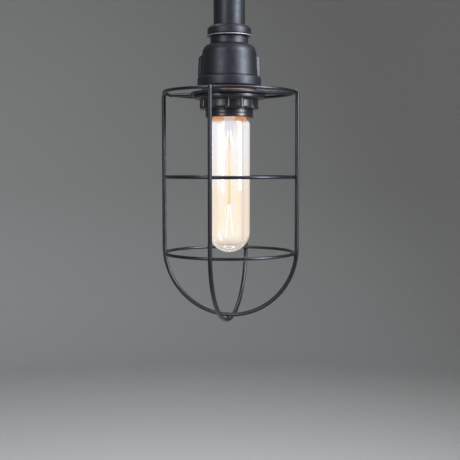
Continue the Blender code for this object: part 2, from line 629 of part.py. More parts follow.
def shade_ring(look):
    """The ring that clamps the cage's hub: a flange, and a grip with upright ribs."""
    bore = BARREL_RADIUS + THREAD_PLAY
    edge, lip = EDGE_BREAK, EDGE_ROUND
    outline = [(FLANGE_RADIUS - edge, FLANGE_TOP), (FLANGE_RADIUS, FLANGE_TOP - edge)]
    outline += [(FLANGE_RADIUS, FLANGE_BOTTOM + edge), (FLANGE_RADIUS - edge, FLANGE_BOTTOM)]
    outline += [(GRIP_RADIUS, FLANGE_BOTTOM), (GRIP_RADIUS, GRIP_BOTTOM + lip)]
    outline += [(GRIP_RADIUS - lip, GRIP_BOTTOM), (bore, GRIP_BOTTOM), (bore, FLANGE_TOP)]
    ring = turned("shade_ring", outline, LAMP, look, steps=36)
    inside, outside, half = GRIP_RADIUS - THROUGH, GRIP_RADIUS + GRIP_RIB_PROUD, GRIP_RIB_WIDTH / 2
    height = GRIP_HEIGHT - EDGE_BREAK
    section = [(inside, -half), (outside, -half), (outside, half), (inside, half)]
    level = LAMP + Vector((0, 0, FLANGE_BOTTOM + EDGE_BREAK / 2 - height / 2))
    for i in range(GRIP_RIB_COUNT):
        turn = (0, 0, GRIP_TURN + 2 * math.pi * i / GRIP_RIB_COUNT - math.pi / 2)
        rib = plate(f"grip_rib_{i + 1}", [section], height, level, None, turn, cutters)
        cut(ring, helper(rib), "UNION")


def cage(look):
    outline = tube_outline(HUB_RADIUS, BARREL_RADIUS + THREAD_PLAY, HUB_TOP, HUB_BOTTOM)
    turned("cage_hub", outline, LAMP, look)
    spoke_start = HUB_RADIUS + GAP
    spoke_end = RING_RADIUS - RING_WIRE_DIAMETER / 2 - GAP
    quarters = ("front", "right", "back", "left")
    for i, quarter in enumerate(quarters):
        azimuth = CAGE_TURN + i * math.pi / 2
        ends = [round_the_axis(azimuth, radius, SPOKE_LEVEL) for radius in (spoke_start, spoke_end)]
        wire(f"cage_spoke_{quarter}", ends, WIRE_DIAMETER, LAMP, look)
    dome_inset = CAGE_RADIUS - math.sqrt(CAGE_RADIUS**2 - (LOW_RING_LEVEL - DOME_LEVEL) ** 2)
    rings = (
        ("cage_top_ring", RING_RADIUS, TOP_RING_LEVEL),
        ("cage_middle_ring", RING_RADIUS, MID_RING_LEVEL),
        ("cage_lower_ring", RING_RADIUS - dome_inset, LOW_RING_LEVEL),
    )
    for name, radius, level in rings:
        cage_ring(name, radius, level, look)
    side_turn = CAGE_TURN + math.pi / 2
    cage_hoop("cage_hoop_side", side_turn, DOME_LEVEL, look)
    cage_hoop("cage_hoop_front", CAGE_TURN, DOME_LEVEL - WIRE_DIAMETER - GAP, look)


def cage_ring(name, radius, level, look):
    """A ring turned with the cage, so that its corners meet the hoops and the spokes."""
    bpy.ops.mesh.primitive_torus_add(
        major_radius=radius, minor_radius=RING_WIRE_DIAMETER / 2, major_segments=36, minor_segments=8,
        location=LAMP + Vector((0, 0, level)), rotation=(0, 0, CAGE_TURN),
    )
    ring = bpy.context.object
    ring.name = name
    for collection in ring.users_collection:
        collection.objects.unlink(ring)
    parts.objects.link(ring)
    ring.data.materials.append(look)


def cage_hoop(name, azimuth, dome_level, look):
    """One wire: up one side of the cage, and over the dome below to the opposite side."""
    top = TOP_RING_LEVEL + RING_WIRE_DIAMETER / 2
    across, height = [CAGE_RADIUS], [top]
    for i in range(DOME_STEPS + 1):
        angle = math.pi * i / DOME_STEPS
        across.append(CAGE_RADIUS * math.cos(angle))
        height.append(dome_level - CAGE_RADIUS * math.sin(angle))
    across.append(-CAGE_RADIUS)
    height.append(top)
    points = [round_the_axis(azimuth, a, h) for a, h in zip(across, height)]
    wire(name, points, WIRE_DIAMETER, LAMP, look, sides=3)


def bulb_glass(look):
    neck_top = CAP_BOTTOM + GLASS_NECK
    neck = CAP_RADIUS - CAP_SKIN - GAP
    shoulder = BULB_TOP - BULB_SHOULDER_DROP
    dome = BULB_BOTTOM + BULB_RADIUS

    def side(inset):
        flare_top = CAP_BOTTOM - GAP
        outline = [(neck - inset, neck_top), (neck - inset, flare_top)]
        for i in range(1, 4):
            t = i / 4
            radius = neck + (BULB_RADIUS - neck) * (1 - math.cos(math.pi * t)) / 2
            outline.append((radius - inset, flare_top + (shoulder - flare_top) * t))
        outline.append((BULB_RADIUS - inset, shoulder))
        return outline + arc((0, dome), BULB_RADIUS - inset, 0, -90, 6)

    outer, inner = side(0), side(BULB_WALL)
    outer[-1], inner[-1] = (0, outer[-1][1]), (0, inner[-1][1])
    turned("bulb_glass", inner[::-1] + outer, LAMP, look, steps=24, on_axis=True)


def bulb_cap(look):
    thread_top, groove = CAP_TOP - EDGE_ROUND, CAP_RADIUS - CAP_THREAD_DEPTH
    outline = [(CAP_CROWN, CAP_TOP), (groove, thread_top)]
    for i in range(CAP_RIDGES):
        outline.append((CAP_RADIUS, thread_top - CAP_PITCH * (i + 0.4)))
        outline.append((groove, thread_top - CAP_PITCH * (i + 1)))
    outline += [(CAP_RADIUS, CAP_BOTTOM + EDGE_BREAK), (CAP_RADIUS, CAP_BOTTOM)]
    bore = CAP_RADIUS - CAP_SKIN
    outline += [(bore, CAP_BOTTOM), (bore - GAP, thread_top - CAP_SKIN), (CAP_CROWN, CAP_TOP - CAP_SKIN)]
    turned("bulb_cap", outline, LAMP, look, steps=24)


def bulb_contact(insulator_look, tip_look):
    under_tip = BULB_TOP - TIP_HEIGHT
    rim, depth = CAP_CROWN - GAP, 0.002
    outline = [(0, under_tip - GAP), (TIP_RADIUS + EDGE_ROUND, under_tip - GAP), (rim, CAP_TOP - GAP)]
    outline += [(rim, CAP_TOP - GAP - depth), (0, CAP_TOP - GAP - depth)]
    turned("bulb_insulator", outline, LAMP, insulator_look, steps=24, on_axis=True)
    outline = [(0, BULB_TOP), (TIP_RADIUS - EDGE_ROUND, BULB_TOP - GAP)]
    outline += [(TIP_RADIUS, BULB_TOP - TIP_HEIGHT / 2), (TIP_RADIUS, under_tip), (0, under_tip)]
    turned("bulb_tip", outline, LAMP, tip_look, steps=24, on_axis=True)


def bulb_inside(glass_look, lead_look, filament_look):
    top = CAP_BOTTOM + STEM_RISE
    press = BULB_TOP - PRESS_DROP
    bottom = BULB_TOP - STEM_DROP
    outline = [(0, top), (STEM_FLARE, top), (STEM_TUBE + EDGE_ROUND, top - STEM_FLARE)]
    outline += [(STEM_TUBE, press + STEM_TUBE), (STEM_TUBE, press), (STEM_ROD, press - STEM_TUBE + STEM_ROD)]
    outline += [(STEM_ROD, bottom + 2 * BEAD_RADIUS), (BEAD_RADIUS, bottom + 1.5 * BEAD_RADIUS)]
    outline += [(BEAD_RADIUS, bottom + BEAD_RADIUS / 2), (0, bottom)]
    turned("bulb_stem", outline, LAMP, glass_look, steps=SMALL_STEPS, on_axis=True)
    high, low = BULB_TOP - FILAMENT_TOP_DROP, BULB_TOP - FILAMENT_BOTTOM_DROP
    points = []
    for i in range(FILAMENT_STRANDS):
        azimuth = 2 * math.pi * (i + 0.5) / FILAMENT_STRANDS
        ends = (high, low) if i % 2 == 0 else (low, high)
        points += [round_the_axis(azimuth, FILAMENT_RADIUS, z) for z in ends]
    wire("filament", points, FILAMENT_WIRE, LAMP, filament_look, sides=1)
    for name, end in (("first", points[0]), ("last", points[-1])):
        outward = Vector((end.x, end.y, 0)).normalized()
        beside = STEM_TUBE + LEAD_IN_WIRE
        route = [outward * beside + Vector((0, 0, press + STEM_TUBE))]
        route.append(outward * (beside + GAP) + Vector((0, 0, press - STEM_TUBE)))
        route.append(Vector((end.x, end.y, high + FILAMENT_WIRE + GAP)))
        wire(f"lead_in_{name}", route, LEAD_IN_WIRE, LAMP, lead_look, sides=1)


def wire_connector(name, x, mouth, look):
    """A twist-on connector, its mouth down."""
    top, deep = mouth + CONNECTOR_LENGTH, mouth + CONNECTOR_BORE_DEPTH
    outline = [(0, top), (CONNECTOR_CROWN - EDGE_ROUND, top), (CONNECTOR_CROWN, top - EDGE_ROUND)]
    outline += [(CONNECTOR_MOUTH, mouth), (CONNECTOR_BORE, mouth), (CONNECTOR_BORE, deep), (0, deep)]
    turned(name, outline, (x, -CONNECTOR_DEPTH, 0), look, steps=12, on_axis=True)


def leads(line_look, neutral_look, ground_look):
    """The supply leads, from the lampholder's terminals to the connectors in the canopy."""
    for name, side, look in (("lead_line", -1, line_look), ("lead_neutral", 1, neutral_look)):
        x, lamp = side * LEAD_SPACING, -ARM_REACH
        terminal = PLATE_TOP + GAP + LEAD_DIAMETER / 2
        turn = ELBOW_BEND * (1 - math.cos(math.pi / 4))
        route = [(side * TERMINAL_OFFSET, lamp + 0.0038, terminal), (side * 0.0075, lamp + 0.0054, terminal)]
        route.append((side * 0.0032, lamp + 0.0036, terminal + 0.0016))
        route += [(x, lamp + 0.0005, NIPPLE_BOTTOM + 0.0005), (x, lamp, NIPPLE_BOTTOM + 0.006)]
        route += [(x, lamp, NIPPLE_TOP), (x, lamp, -ELBOW_LEG - 0.02), (x, lamp, -ELBOW_BEND)]
        route += [(x, lamp + turn, -turn), (x, lamp + ELBOW_BEND, 0), (x, lamp / 2, 0), (x, -0.020, 0)]
        route += [(side * 0.0030, -0.0115, -0.0006), (side * 0.012, -0.0090, -0.0035)]
        route += [(side * 0.0205, -0.0092, 0), (side * CONNECTOR_OFFSET, -CONNECTOR_DEPTH, 0.008)]
        route.append((side * CONNECTOR_OFFSET, -CONNECTOR_DEPTH, 0.020))
        wire(name, smooth_route(route, 0.0058), LEAD_DIAMETER, WALL, look)
    x = GROUND_SCREW_OFFSET
    route = [(x, -0.0037, 0.0049), (x - 0.0015, -0.0050, 0.011), (x - 0.011, -0.0085, 0.0175)]
    route.append((0.0006, -CONNECTOR_DEPTH, 0.0245))
    route += [(0, -CONNECTOR_DEPTH, 0.0290), (0, -CONNECTOR_DEPTH, 0.035)]
    wire("lead_ground", smooth_route(route, 0.0050), LEAD_DIAMETER, WALL, ground_look)


def shade_round():
    """Bakes each part's modifiers, then shades it smooth with its corners kept sharp."""
    bpy.context.view_layer.update()
    graph = bpy.context.evaluated_depsgraph_get()
    baked = {thing: bpy.data.meshes.new_from_object(thing.evaluated_get(graph)) for thing in parts.objects}
    for thing, mesh in baked.items():
        thing.modifiers.clear()
        thing.data = mesh
        mesh.shade_smooth()
        mesh.set_sharp_from_angle(angle=math.radians(35))


for old in list(bpy.data.objects):
    bpy.data.objects.remove(old)
parts = new_collection("caged_pipe_wall_light")
cutters = new_collection("cutters")

black_metal = finish("black_metal", (0.030, 0.032, 0.040), 0.42, 0.55)
black_plastic = finish("black_plastic", (0.028, 0.029, 0.035), 0.38, 0.0)
bright_steel = finish("bright_steel", (0.62, 0.62, 0.60), 0.30, 1.0)
brass = finish("brass", (0.78, 0.57, 0.27), 0.28, 1.0)
red_fibre = finish("red_fibre", (0.30, 0.105, 0.035), 0.62, 0.0)
porcelain = finish("porcelain", (0.86, 0.84, 0.79), 0.25, 0.0)
clear_glass = finish("clear_glass", (0.95, 0.93, 0.88), 0.05, 0.0)
filament_glow = finish("filament_glow", (1.0, 0.62, 0.22), 0.5, 0.0)
green_paint = finish("green_paint", (0.05, 0.35, 0.12), 0.4, 0.0)
black_rubber = finish("black_rubber", (0.02, 0.02, 0.02), 0.5, 0.0)
white_rubber = finish("white_rubber", (0.82, 0.82, 0.80), 0.5, 0.0)
orange_plastic = finish("orange_plastic", (0.85, 0.32, 0.05), 0.45, 0.0)
black_enamel = finish("black_enamel", (0.01, 0.01, 0.012), 0.2, 0.0)

wall_canopy(black_metal)
canopy_screws(black_metal)
crossbar(bright_steel)
ground_screw(green_paint)
arm(black_metal, bright_steel)
elbow(black_metal)
drop(black_metal, black_metal, bright_steel)
reducer(black_metal)
nipple(bright_steel, brass)
lampholder(black_plastic, red_fibre)
holder_core(porcelain)
screw_shell(brass)
centre_contact(brass)
contact_rivet(brass)
terminals(brass, bright_steel)
shade_ring(black_plastic)
cage(black_metal)
bulb_glass(clear_glass)
bulb_cap(brass)
bulb_contact(black_enamel, bright_steel)
bulb_inside(clear_glass, bright_steel, filament_glow)
wire_connector("connector_line", -CONNECTOR_OFFSET, 0.014, orange_plastic)
wire_connector("connector_neutral", CONNECTOR_OFFSET, 0.014, orange_plastic)
wire_connector("connector_ground", 0.0, 0.027, green_paint)
leads(black_rubber, white_rubber, green_paint)
shade_round()
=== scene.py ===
# %% [markdown]
# # A caged pipe wall light
# The real light is plumbing turned into a lamp: a round canopy on the wall, an arm and an elbow of black
# iron pipe, a bell-shaped reducer, and under it a lampholder that clamps a wire cage round a tubular
# bulb. The working model is loaded first and never moved. Everything made below is a finer skin over it,
# placed from the model's own boxes, so the looks and the mechanism can't drift apart.

# %% Load the working model
import json
import math

import bmesh
import bpy
from mathutils import Matrix, Vector


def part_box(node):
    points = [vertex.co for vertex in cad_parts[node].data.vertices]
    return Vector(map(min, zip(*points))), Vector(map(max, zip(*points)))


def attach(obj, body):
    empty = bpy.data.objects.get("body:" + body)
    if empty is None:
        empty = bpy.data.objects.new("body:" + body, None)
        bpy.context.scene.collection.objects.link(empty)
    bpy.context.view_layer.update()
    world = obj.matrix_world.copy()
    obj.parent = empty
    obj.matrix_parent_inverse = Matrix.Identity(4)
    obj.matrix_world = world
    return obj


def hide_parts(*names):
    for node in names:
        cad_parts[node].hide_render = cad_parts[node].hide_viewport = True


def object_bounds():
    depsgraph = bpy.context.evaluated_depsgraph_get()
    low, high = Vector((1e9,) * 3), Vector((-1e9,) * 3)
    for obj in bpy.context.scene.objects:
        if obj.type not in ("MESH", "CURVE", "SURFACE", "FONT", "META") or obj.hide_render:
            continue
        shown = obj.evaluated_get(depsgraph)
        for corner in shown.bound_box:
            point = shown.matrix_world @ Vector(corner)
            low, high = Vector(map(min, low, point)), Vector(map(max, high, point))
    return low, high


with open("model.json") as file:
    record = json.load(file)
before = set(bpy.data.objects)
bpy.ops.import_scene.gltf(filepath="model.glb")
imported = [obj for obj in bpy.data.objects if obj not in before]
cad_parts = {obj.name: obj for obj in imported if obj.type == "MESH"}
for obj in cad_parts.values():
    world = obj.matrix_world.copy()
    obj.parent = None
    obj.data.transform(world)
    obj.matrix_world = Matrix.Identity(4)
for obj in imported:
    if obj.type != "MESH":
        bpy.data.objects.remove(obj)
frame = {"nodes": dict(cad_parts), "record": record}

CAD_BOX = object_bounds()
MM = 0.001
TINY = 0.000001
SMOOTH_UNDER = math.radians(38)
print("working model, mm:", [round((high - low) / MM, 1) for low, high in zip(*CAD_BOX)])

# %% [markdown]
# Almost every piece is round about one of two lines: the upright axis of the lamp, or the level axis of
# the arm. Both are read from the model. A placing matrix for each lets one turning helper serve both: it
# is written once, for an upright axis, and the matrix lays the result along the arm.

# %% The two axes
low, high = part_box("drop_pipe")
LAMP_Y = (low.y + high.y) / 2
LAMP = Matrix.Translation((0, LAMP_Y, 0))
ARM = Matrix.Rotation(math.pi / 2, 4, "X")


def top_of(node):
    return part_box(node)[1].z


def bottom_of(node):
    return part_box(node)[0].z


def radius_of(node):
    low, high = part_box(node)
    return (high.x - low.x) / 2


def extent_of(node):
    return top_of(node), bottom_of(node), radius_of(node)


def reach_of(node):
    """How far from the wall a node starts and ends, along the arm."""
    low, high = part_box(node)
    return -high.y, -low.y


print("lamp axis is", round(-LAMP_Y / MM, 1), "mm out of the wall")

# %% [markdown]
# ## Turning
# On the bench these pieces are cast, turned or pressed, and none of them has a knife edge. The outline of
# a turned piece is drawn as a few corners, each with the radius that a tool or a mould leaves there. A
# Bevel modifier could round the edges after the turning, but rounding the outline first is cheaper, gives
# each edge its own radius, and never makes a bad corner where bevels meet.

# %% An outline with rounded corners
def rounded(corners, steps=5, closed=True):
    """Points (radius, along) of an outline, from (radius, along, rounding) corners."""
    count = len(corners)
    points = []
    for i, (radius, along, rounding) in enumerate(corners):
        here = Vector((radius, along))
        on_end = not closed and i in (0, count - 1)
        if rounding <= 0 or on_end:
            points.append(tuple(here))
            continue
        back = Vector(corners[i - 1][:2]) - here
        ahead = Vector(corners[(i + 1) % count][:2]) - here
        half = back.angle(ahead) / 2
        reach = min(rounding / math.tan(half), 0.49 * back.length, 0.49 * ahead.length)
        size = reach * math.tan(half)
        middle = here + (back.normalized() + ahead.normalized()).normalized() * size / math.sin(half)
        first = here + back.normalized() * reach - middle
        last = here + ahead.normalized() * reach - middle
        turn = first.angle_signed(last)
        for step in range(steps + 1):
            points.append(tuple(middle + first @ Matrix.Rotation(turn * step / steps, 2)))
    return points


trial = rounded([(0.02, 0.01, 0.002), (0.02, 0, 0.002), (0.01, 0, 0), (0.01, 0.01, 0)])
outermost = max(radius for radius, along in trial)
print("a tube's outline has", len(trial), "points, the outermost at", round(outermost / MM, 2), "mm")

# %% [markdown]
# The turning helper is a lathe in code. It can do one thing that a Screw modifier can't: a *swell*
# function moves the surface in or out by angle and height while it is spun, so ribs, grip panels and real
# screw threads grow out of the same skin, with no Boolean seams to clean up.

# %% The lathe
def even_angles(steps):
    return [2 * math.pi * i / steps for i in range(steps)]


def around(radius, angle, along):
    return Vector((radius * math.cos(angle), radius * math.sin(angle), along))


def put(name, data):
    """A new object in the scene."""
    thing = bpy.data.objects.new(name, data)
    bpy.context.scene.collection.objects.link(thing)
    return thing


def finished(shape, name):
    """Turns a bmesh into an object whose faces point out and whose round faces look round."""
    bmesh.ops.recalc_face_normals(shape, faces=shape.faces)
    mesh = bpy.data.meshes.new(name)
    shape.to_mesh(mesh)
    shape.free()
    mesh.shade_smooth()
    mesh.set_sharp_from_angle(angle=SMOOTH_UNDER)
    return put(name, mesh)


def skin(shape, rings):
    """Faces between neighbouring rings of vertices. A ring of one vertex is a point on the axis."""
    for one, other in rings:
        count = max(len(one), len(other))
        for i in range(count):
            j = (i + 1) % count
            corners = [one[i % len(one)], one[j % len(one)], other[j % len(other)], other[i % len(other)]]
            corners = list(dict.fromkeys(corners))
            if len(corners) > 2:
                shape.faces.new(corners)


def spun(name, outline, place, angles=96, swell=None):
    """A turned piece. An outline that starts on the axis is left open there, and any other is closed."""
    turns = even_angles(angles) if isinstance(angles, int) else angles
    shape = bmesh.new()
    rings = []
    for radius, along in outline:
        if radius < TINY:
            rings.append([shape.verts.new(place @ Vector((0, 0, along)))])
            continue
        ring = []
        for angle in turns:
            out = radius + (swell(angle, radius, along) if swell else 0)
            ring.append(shape.verts.new(place @ around(out, angle, along)))
        rings.append(ring)
    pairs = list(zip(rings, rings[1:]))
    if outline[0][0] >= TINY:
        pairs.append((rings[-1], rings[0]))
    skin(shape, pairs)
    return finished(shape, name)


# %% [markdown]
# Each finer piece is dressed the same way: it takes its finish, rides on the body that its plain twin
# rides on, and takes the twin's place.

# %% Dressing a piece
BODY_OF = {node: body for body, nodes in frame["record"]["behaviour"]["bodies"].items() for node in nodes}
SLOT_OF = {row["node"]: row["material_slot"] for row in frame["record"]["subparts"]}


def dress(thing, finish, *nodes, body=None, slot=None):
    """Paints a piece and puts it in the place of the nodes named. With none, the body is given; the slot
    argument is not used.
    """
    thing.data.materials.clear()
    thing.data.materials.append(finish)
    if nodes:
        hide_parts(*nodes)
        body, slot = BODY_OF[nodes[0]], SLOT_OF[nodes[0]]
    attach(thing, body)
    return thing


def turned(node, name, finish, outline, angles=96, swell=None):
    """A finer skin for a node that is round about the lamp's axis."""
    return dress(spun(name, outline, LAMP, angles, swell), finish, node)


# %% [markdown]
# ## Finishes
# Each finish is a small node tree read in the piece's own coordinates, in metres, so a grain has a real
# size: the orange peel of a powder coat is about half a millimetre across on a screw and on the canopy
# alike. Image textures would need unwrapping and would stretch on the threads. Noise at a true scale
# needs neither.

# %% Helpers for finishes
def new_finish(name, colour, roughness, metallic=0.0):
    finish = bpy.data.materials.new(name)
    finish.use_nodes = True
    shader = finish.node_tree.nodes["Principled BSDF"]
    shader.inputs["Base Color"].default_value = (*colour, 1)
    shader.inputs["Roughness"].default_value = roughness
    shader.inputs["Metallic"].default_value = metallic
    return finish, shader


def add_node(finish, kind, **settings):
    node = finish.node_tree.nodes.new(kind)
    for name, value in settings.items():
        setattr(node, name, value)
    return node


def link(finish, source, target):
    finish.node_tree.links.new(source, target)


def grain(finish, size, detail=3.0, stretch=(1, 1, 1)):
    """Noise with grains of about this size in metres. A stretch above 1 makes them finer along that axis."""
    place = add_node(finish, "ShaderNodeTexCoord")
    scaled = add_node(finish, "ShaderNodeMapping")
    scaled.inputs["Scale"].default_value = stretch
    noise = add_node(finish, "ShaderNodeTexNoise")
    noise.inputs["Scale"].default_value = 1 / size
    noise.inputs["Detail"].default_value = detail
    link(finish, place.outputs["Object"], scaled.inputs["Vector"])
    link(finish, scaled.outputs["Vector"], noise.inputs["Vector"])
    return noise.outputs[0]


def spread(finish, source, start, end, target, low=0.3, high=0.7):
    """Drives a plain socket from start to end as the source goes from low to high."""
    ramp = add_node(finish, "ShaderNodeMapRange")
    ramp.inputs["From Min"].default_value = low
    ramp.inputs["From Max"].default_value = high
    ramp.inputs["To Min"].default_value = start
    ramp.inputs["To Max"].default_value = end
    link(finish, source, ramp.inputs["Value"])
    link(finish, ramp.outputs["Result"], target)


def tint(finish, source, first, second, target, low=0.35, high=0.65):
    """Drives a colour socket from one colour to another."""
    ramp = add_node(finish, "ShaderNodeValToRGB")
    ramp.color_ramp.elements[0].position = low
    ramp.color_ramp.elements[0].color = (*first, 1)
    ramp.color_ramp.elements[1].position = high
    ramp.color_ramp.elements[1].color = (*second, 1)
    link(finish, source, ramp.inputs["Fac"])
    link(finish, ramp.outputs["Color"], target)


def relief(finish, shader, height, depth, strength=1.0):
    """Fine relief, its depth in metres."""
    bump = add_node(finish, "ShaderNodeBump")
    bump.inputs["Distance"].default_value = depth
    bump.inputs["Strength"].default_value = strength
    link(finish, height, bump.inputs["Height"])
    link(finish, bump.outputs["Normal"], shader.inputs["Normal"])


# %% [markdown]
# The iron is baked powder coat: a satin, faintly blue black with an orange-peel skin. Powder flows away
# from sharp edges in the oven, so the coat is thinner and paler there. The Pointiness of the surface
# finds those edges, and only lifts the colour a little, because the light is new.

# %% Satin black powder coat on iron and wire
def powder_coat(name, peel, edge_gain, shine=0.48):
    finish, shader = new_finish(name, (0.010, 0.011, 0.014), 0.5)
    cloud = grain(finish, 9 * MM, detail=4)
    surface = add_node(finish, "ShaderNodeNewGeometry")
    edges = add_node(finish, "ShaderNodeMapRange")
    edges.inputs["From Min"].default_value = 0.50
    edges.inputs["From Max"].default_value = 0.62
    edges.inputs["To Max"].default_value = edge_gain
    link(finish, surface.outputs["Pointiness"], edges.inputs["Value"])
    both = add_node(finish, "ShaderNodeMath", operation="ADD", use_clamp=True)
    link(finish, cloud, both.inputs[0])
    link(finish, edges.outputs["Result"], both.inputs[1])
    dark, pale = (0.0018, 0.0019, 0.0025), (0.008, 0.0083, 0.011)
    tint(finish, both.outputs[0], dark, pale, shader.inputs["Base Color"], 0.35, 1.0)
    spread(finish, grain(finish, 3 * MM), shine - 0.05, shine + 0.05, shader.inputs["Roughness"])
    relief(finish, shader, grain(finish, peel, detail=1.5), 0.02 * MM, 0.35)
    shader.inputs["Specular IOR Level"].default_value = 0.36
    shader.inputs["Specular Tint"].default_value = (0.84, 0.90, 1.0, 1)
    return finish


black_coat = powder_coat("satin_black_powder_coat", 0.55 * MM, 0.35)
wire_coat = powder_coat("wire_powder_coat", 0.40 * MM, 0.0, shine=0.36)

# %% [markdown]
# The lampholder is pressed from phenolic, a hard resin filled with fine flour. It is glossier than the
# iron, shows faint flow lines round the axis, and tiny paler flecks of filler.

# %% Pressed phenolic
def phenolic():
    finish, shader = new_finish("pressed_black_phenolic", (0.012, 0.012, 0.015), 0.30)
    flecks = grain(finish, 0.5 * MM, detail=6)
    dark, pale = (0.004, 0.004, 0.0055), (0.016, 0.016, 0.019)
    tint(finish, flecks, dark, pale, shader.inputs["Base Color"], 0.45, 0.75)
    spread(finish, grain(finish, 2 * MM, stretch=(1, 1, 4)), 0.30, 0.38, shader.inputs["Roughness"])
    shader.inputs["Specular IOR Level"].default_value = 0.36
    relief(finish, shader, grain(finish, 1.6 * MM, stretch=(1, 1, 5)), 0.02 * MM, 0.25)
    return finish


black_phenolic = phenolic()


def fibre():
    """The hard red-brown paper fibre that soft washers in old lampholders are punched from. Its colour is
    also painted light, standing in for the bulb's orange glow under the reducer.
    """
    finish, shader = new_finish("red_fibre", (0.30, 0.105, 0.035), 0.62)
    layers = grain(finish, 0.4 * MM, detail=4, stretch=(1, 1, 6))
    tint(finish, layers, (0.10, 0.033, 0.014), (0.19, 0.065, 0.024), shader.inputs["Base Color"])
    relief(finish, shader, layers, 0.02 * MM, 0.4)
    return finish


red_fibre = fibre()

# %% [markdown]
# The bright metals are mostly out of sight, but they show from behind and when the bulb is unscrewed.
# Zinc plate is grey with a slight crystal mottle. Stamped brass is yellow, with browner patches of
# tarnish. Both are true metals, so their colour is in the reflection and the variation sits mainly in the
# roughness.

# %% Zinc-plated steel and stamped brass
def plated(name, bright, dull, shine, patch, stretch=(1, 1, 1)):
    finish, shader = new_finish(name, bright, shine, metallic=1.0)
    tint(finish, grain(finish, patch, detail=5), dull, bright, shader.inputs["Base Color"])
    mottle = grain(finish, patch / 3, stretch=stretch)
    spread(finish, mottle, shine - 0.07, shine + 0.12, shader.inputs["Roughness"])
    relief(finish, shader, grain(finish, patch / 8, stretch=stretch), 0.01 * MM, 0.3)
    return finish


zinc = plated("zinc_plated_steel", (0.66, 0.67, 0.66), (0.50, 0.51, 0.51), 0.30, 4 * MM)
dull_zinc = plated("dull_zinc_washer", (0.34, 0.34, 0.34), (0.22, 0.22, 0.22), 0.55, 3 * MM)
brass = plated("stamped_brass", (0.83, 0.61, 0.28), (0.58, 0.38, 0.16), 0.26, 5 * MM)

# %% [markdown]
# Glazed porcelain carries the live parts inside the holder. The glaze is glassy over an off-white body,
# so a clear coat lies over a rougher base. Insulation and the twist-on connectors are soft, slightly waxy
# plastic.

# %% Porcelain, insulation and paint
def glazed_porcelain():
    finish, shader = new_finish("glazed_porcelain", (0.84, 0.82, 0.76), 0.45)
    clouds = grain(finish, 2.5 * MM, detail=6)
    tint(finish, clouds, (0.76, 0.73, 0.66), (0.87, 0.85, 0.80), shader.inputs["Base Color"])
    spread(finish, grain(finish, 1 * MM), 0.38, 0.55, shader.inputs["Roughness"])
    shader.inputs["Coat Weight"].default_value = 0.8
    shader.inputs["Coat Roughness"].default_value = 0.06
    return finish


def soft_plastic(name, colour, roughness):
    finish, shader = new_finish(name, colour, roughness)
    darker = tuple(0.78 * part for part in colour)
    tint(finish, grain(finish, 3 * MM, detail=5), darker, colour, shader.inputs["Base Color"])
    spread(finish, grain(finish, 0.8 * MM), roughness - 0.06, roughness + 0.08, shader.inputs["Roughness"])
    relief(finish, shader, grain(finish, 0.35 * MM), 0.01 * MM, 0.3)
    return finish


porcelain = glazed_porcelain()
black_sleeve = soft_plastic("black_insulation", (0.020, 0.020, 0.021), 0.48)
white_sleeve = soft_plastic("white_insulation", (0.80, 0.80, 0.77), 0.46)
green_sleeve = soft_plastic("green_insulation", (0.045, 0.33, 0.11), 0.44)
orange_plastic = soft_plastic("orange_connector_plastic", (0.80, 0.26, 0.035), 0.40)
vitrite = soft_plastic("black_vitrite", (0.012, 0.011, 0.014), 0.12)

# %% [markdown]
# The bulb is lit. Its glass is a thin clear wall that bends the light at the edges, and over it lies a
# faint painted glow that stands in for the glare of the lit bulb: a painted orange reflection of the lit
# holder mouth at the top, cool under it, peach further down, and gone at the tip. All of that is told by
# height, in the glass's own coordinates. The filament is bare emission, and round it stands a halo: the
# light that the eye and a lens see spread about a filament too bright to look at.

# %% Lit glass, filament and halo
GLASS_TOP = top_of("bulb_glass")
GLASS_BOTTOM = bottom_of("bulb_glass")
GLASS_RADIUS = radius_of("bulb_glass")
MOUTH = bottom_of("holder_barrel")
HALO_TOP = MOUTH - 4 * MM
HALO_BOTTOM = bottom_of("filament") - 6 * MM
BULB_TOP = top_of("bulb_tip")
PRESS = BULB_TOP - 42.8 * MM


def height_ramp(finish, start, end):
    """Rises from 0 to 1 as the height goes from start to end."""
    place = add_node(finish, "ShaderNodeTexCoord")
    split = add_node(finish, "ShaderNodeSeparateXYZ")
    ramp = add_node(finish, "ShaderNodeMapRange")
    ramp.inputs["From Min"].default_value = start
    ramp.inputs["From Max"].default_value = end
    link(finish, place.outputs["Object"], split.inputs["Vector"])
    link(finish, split.outputs["Z"], ramp.inputs["Value"])
    return ramp.outputs["Result"]


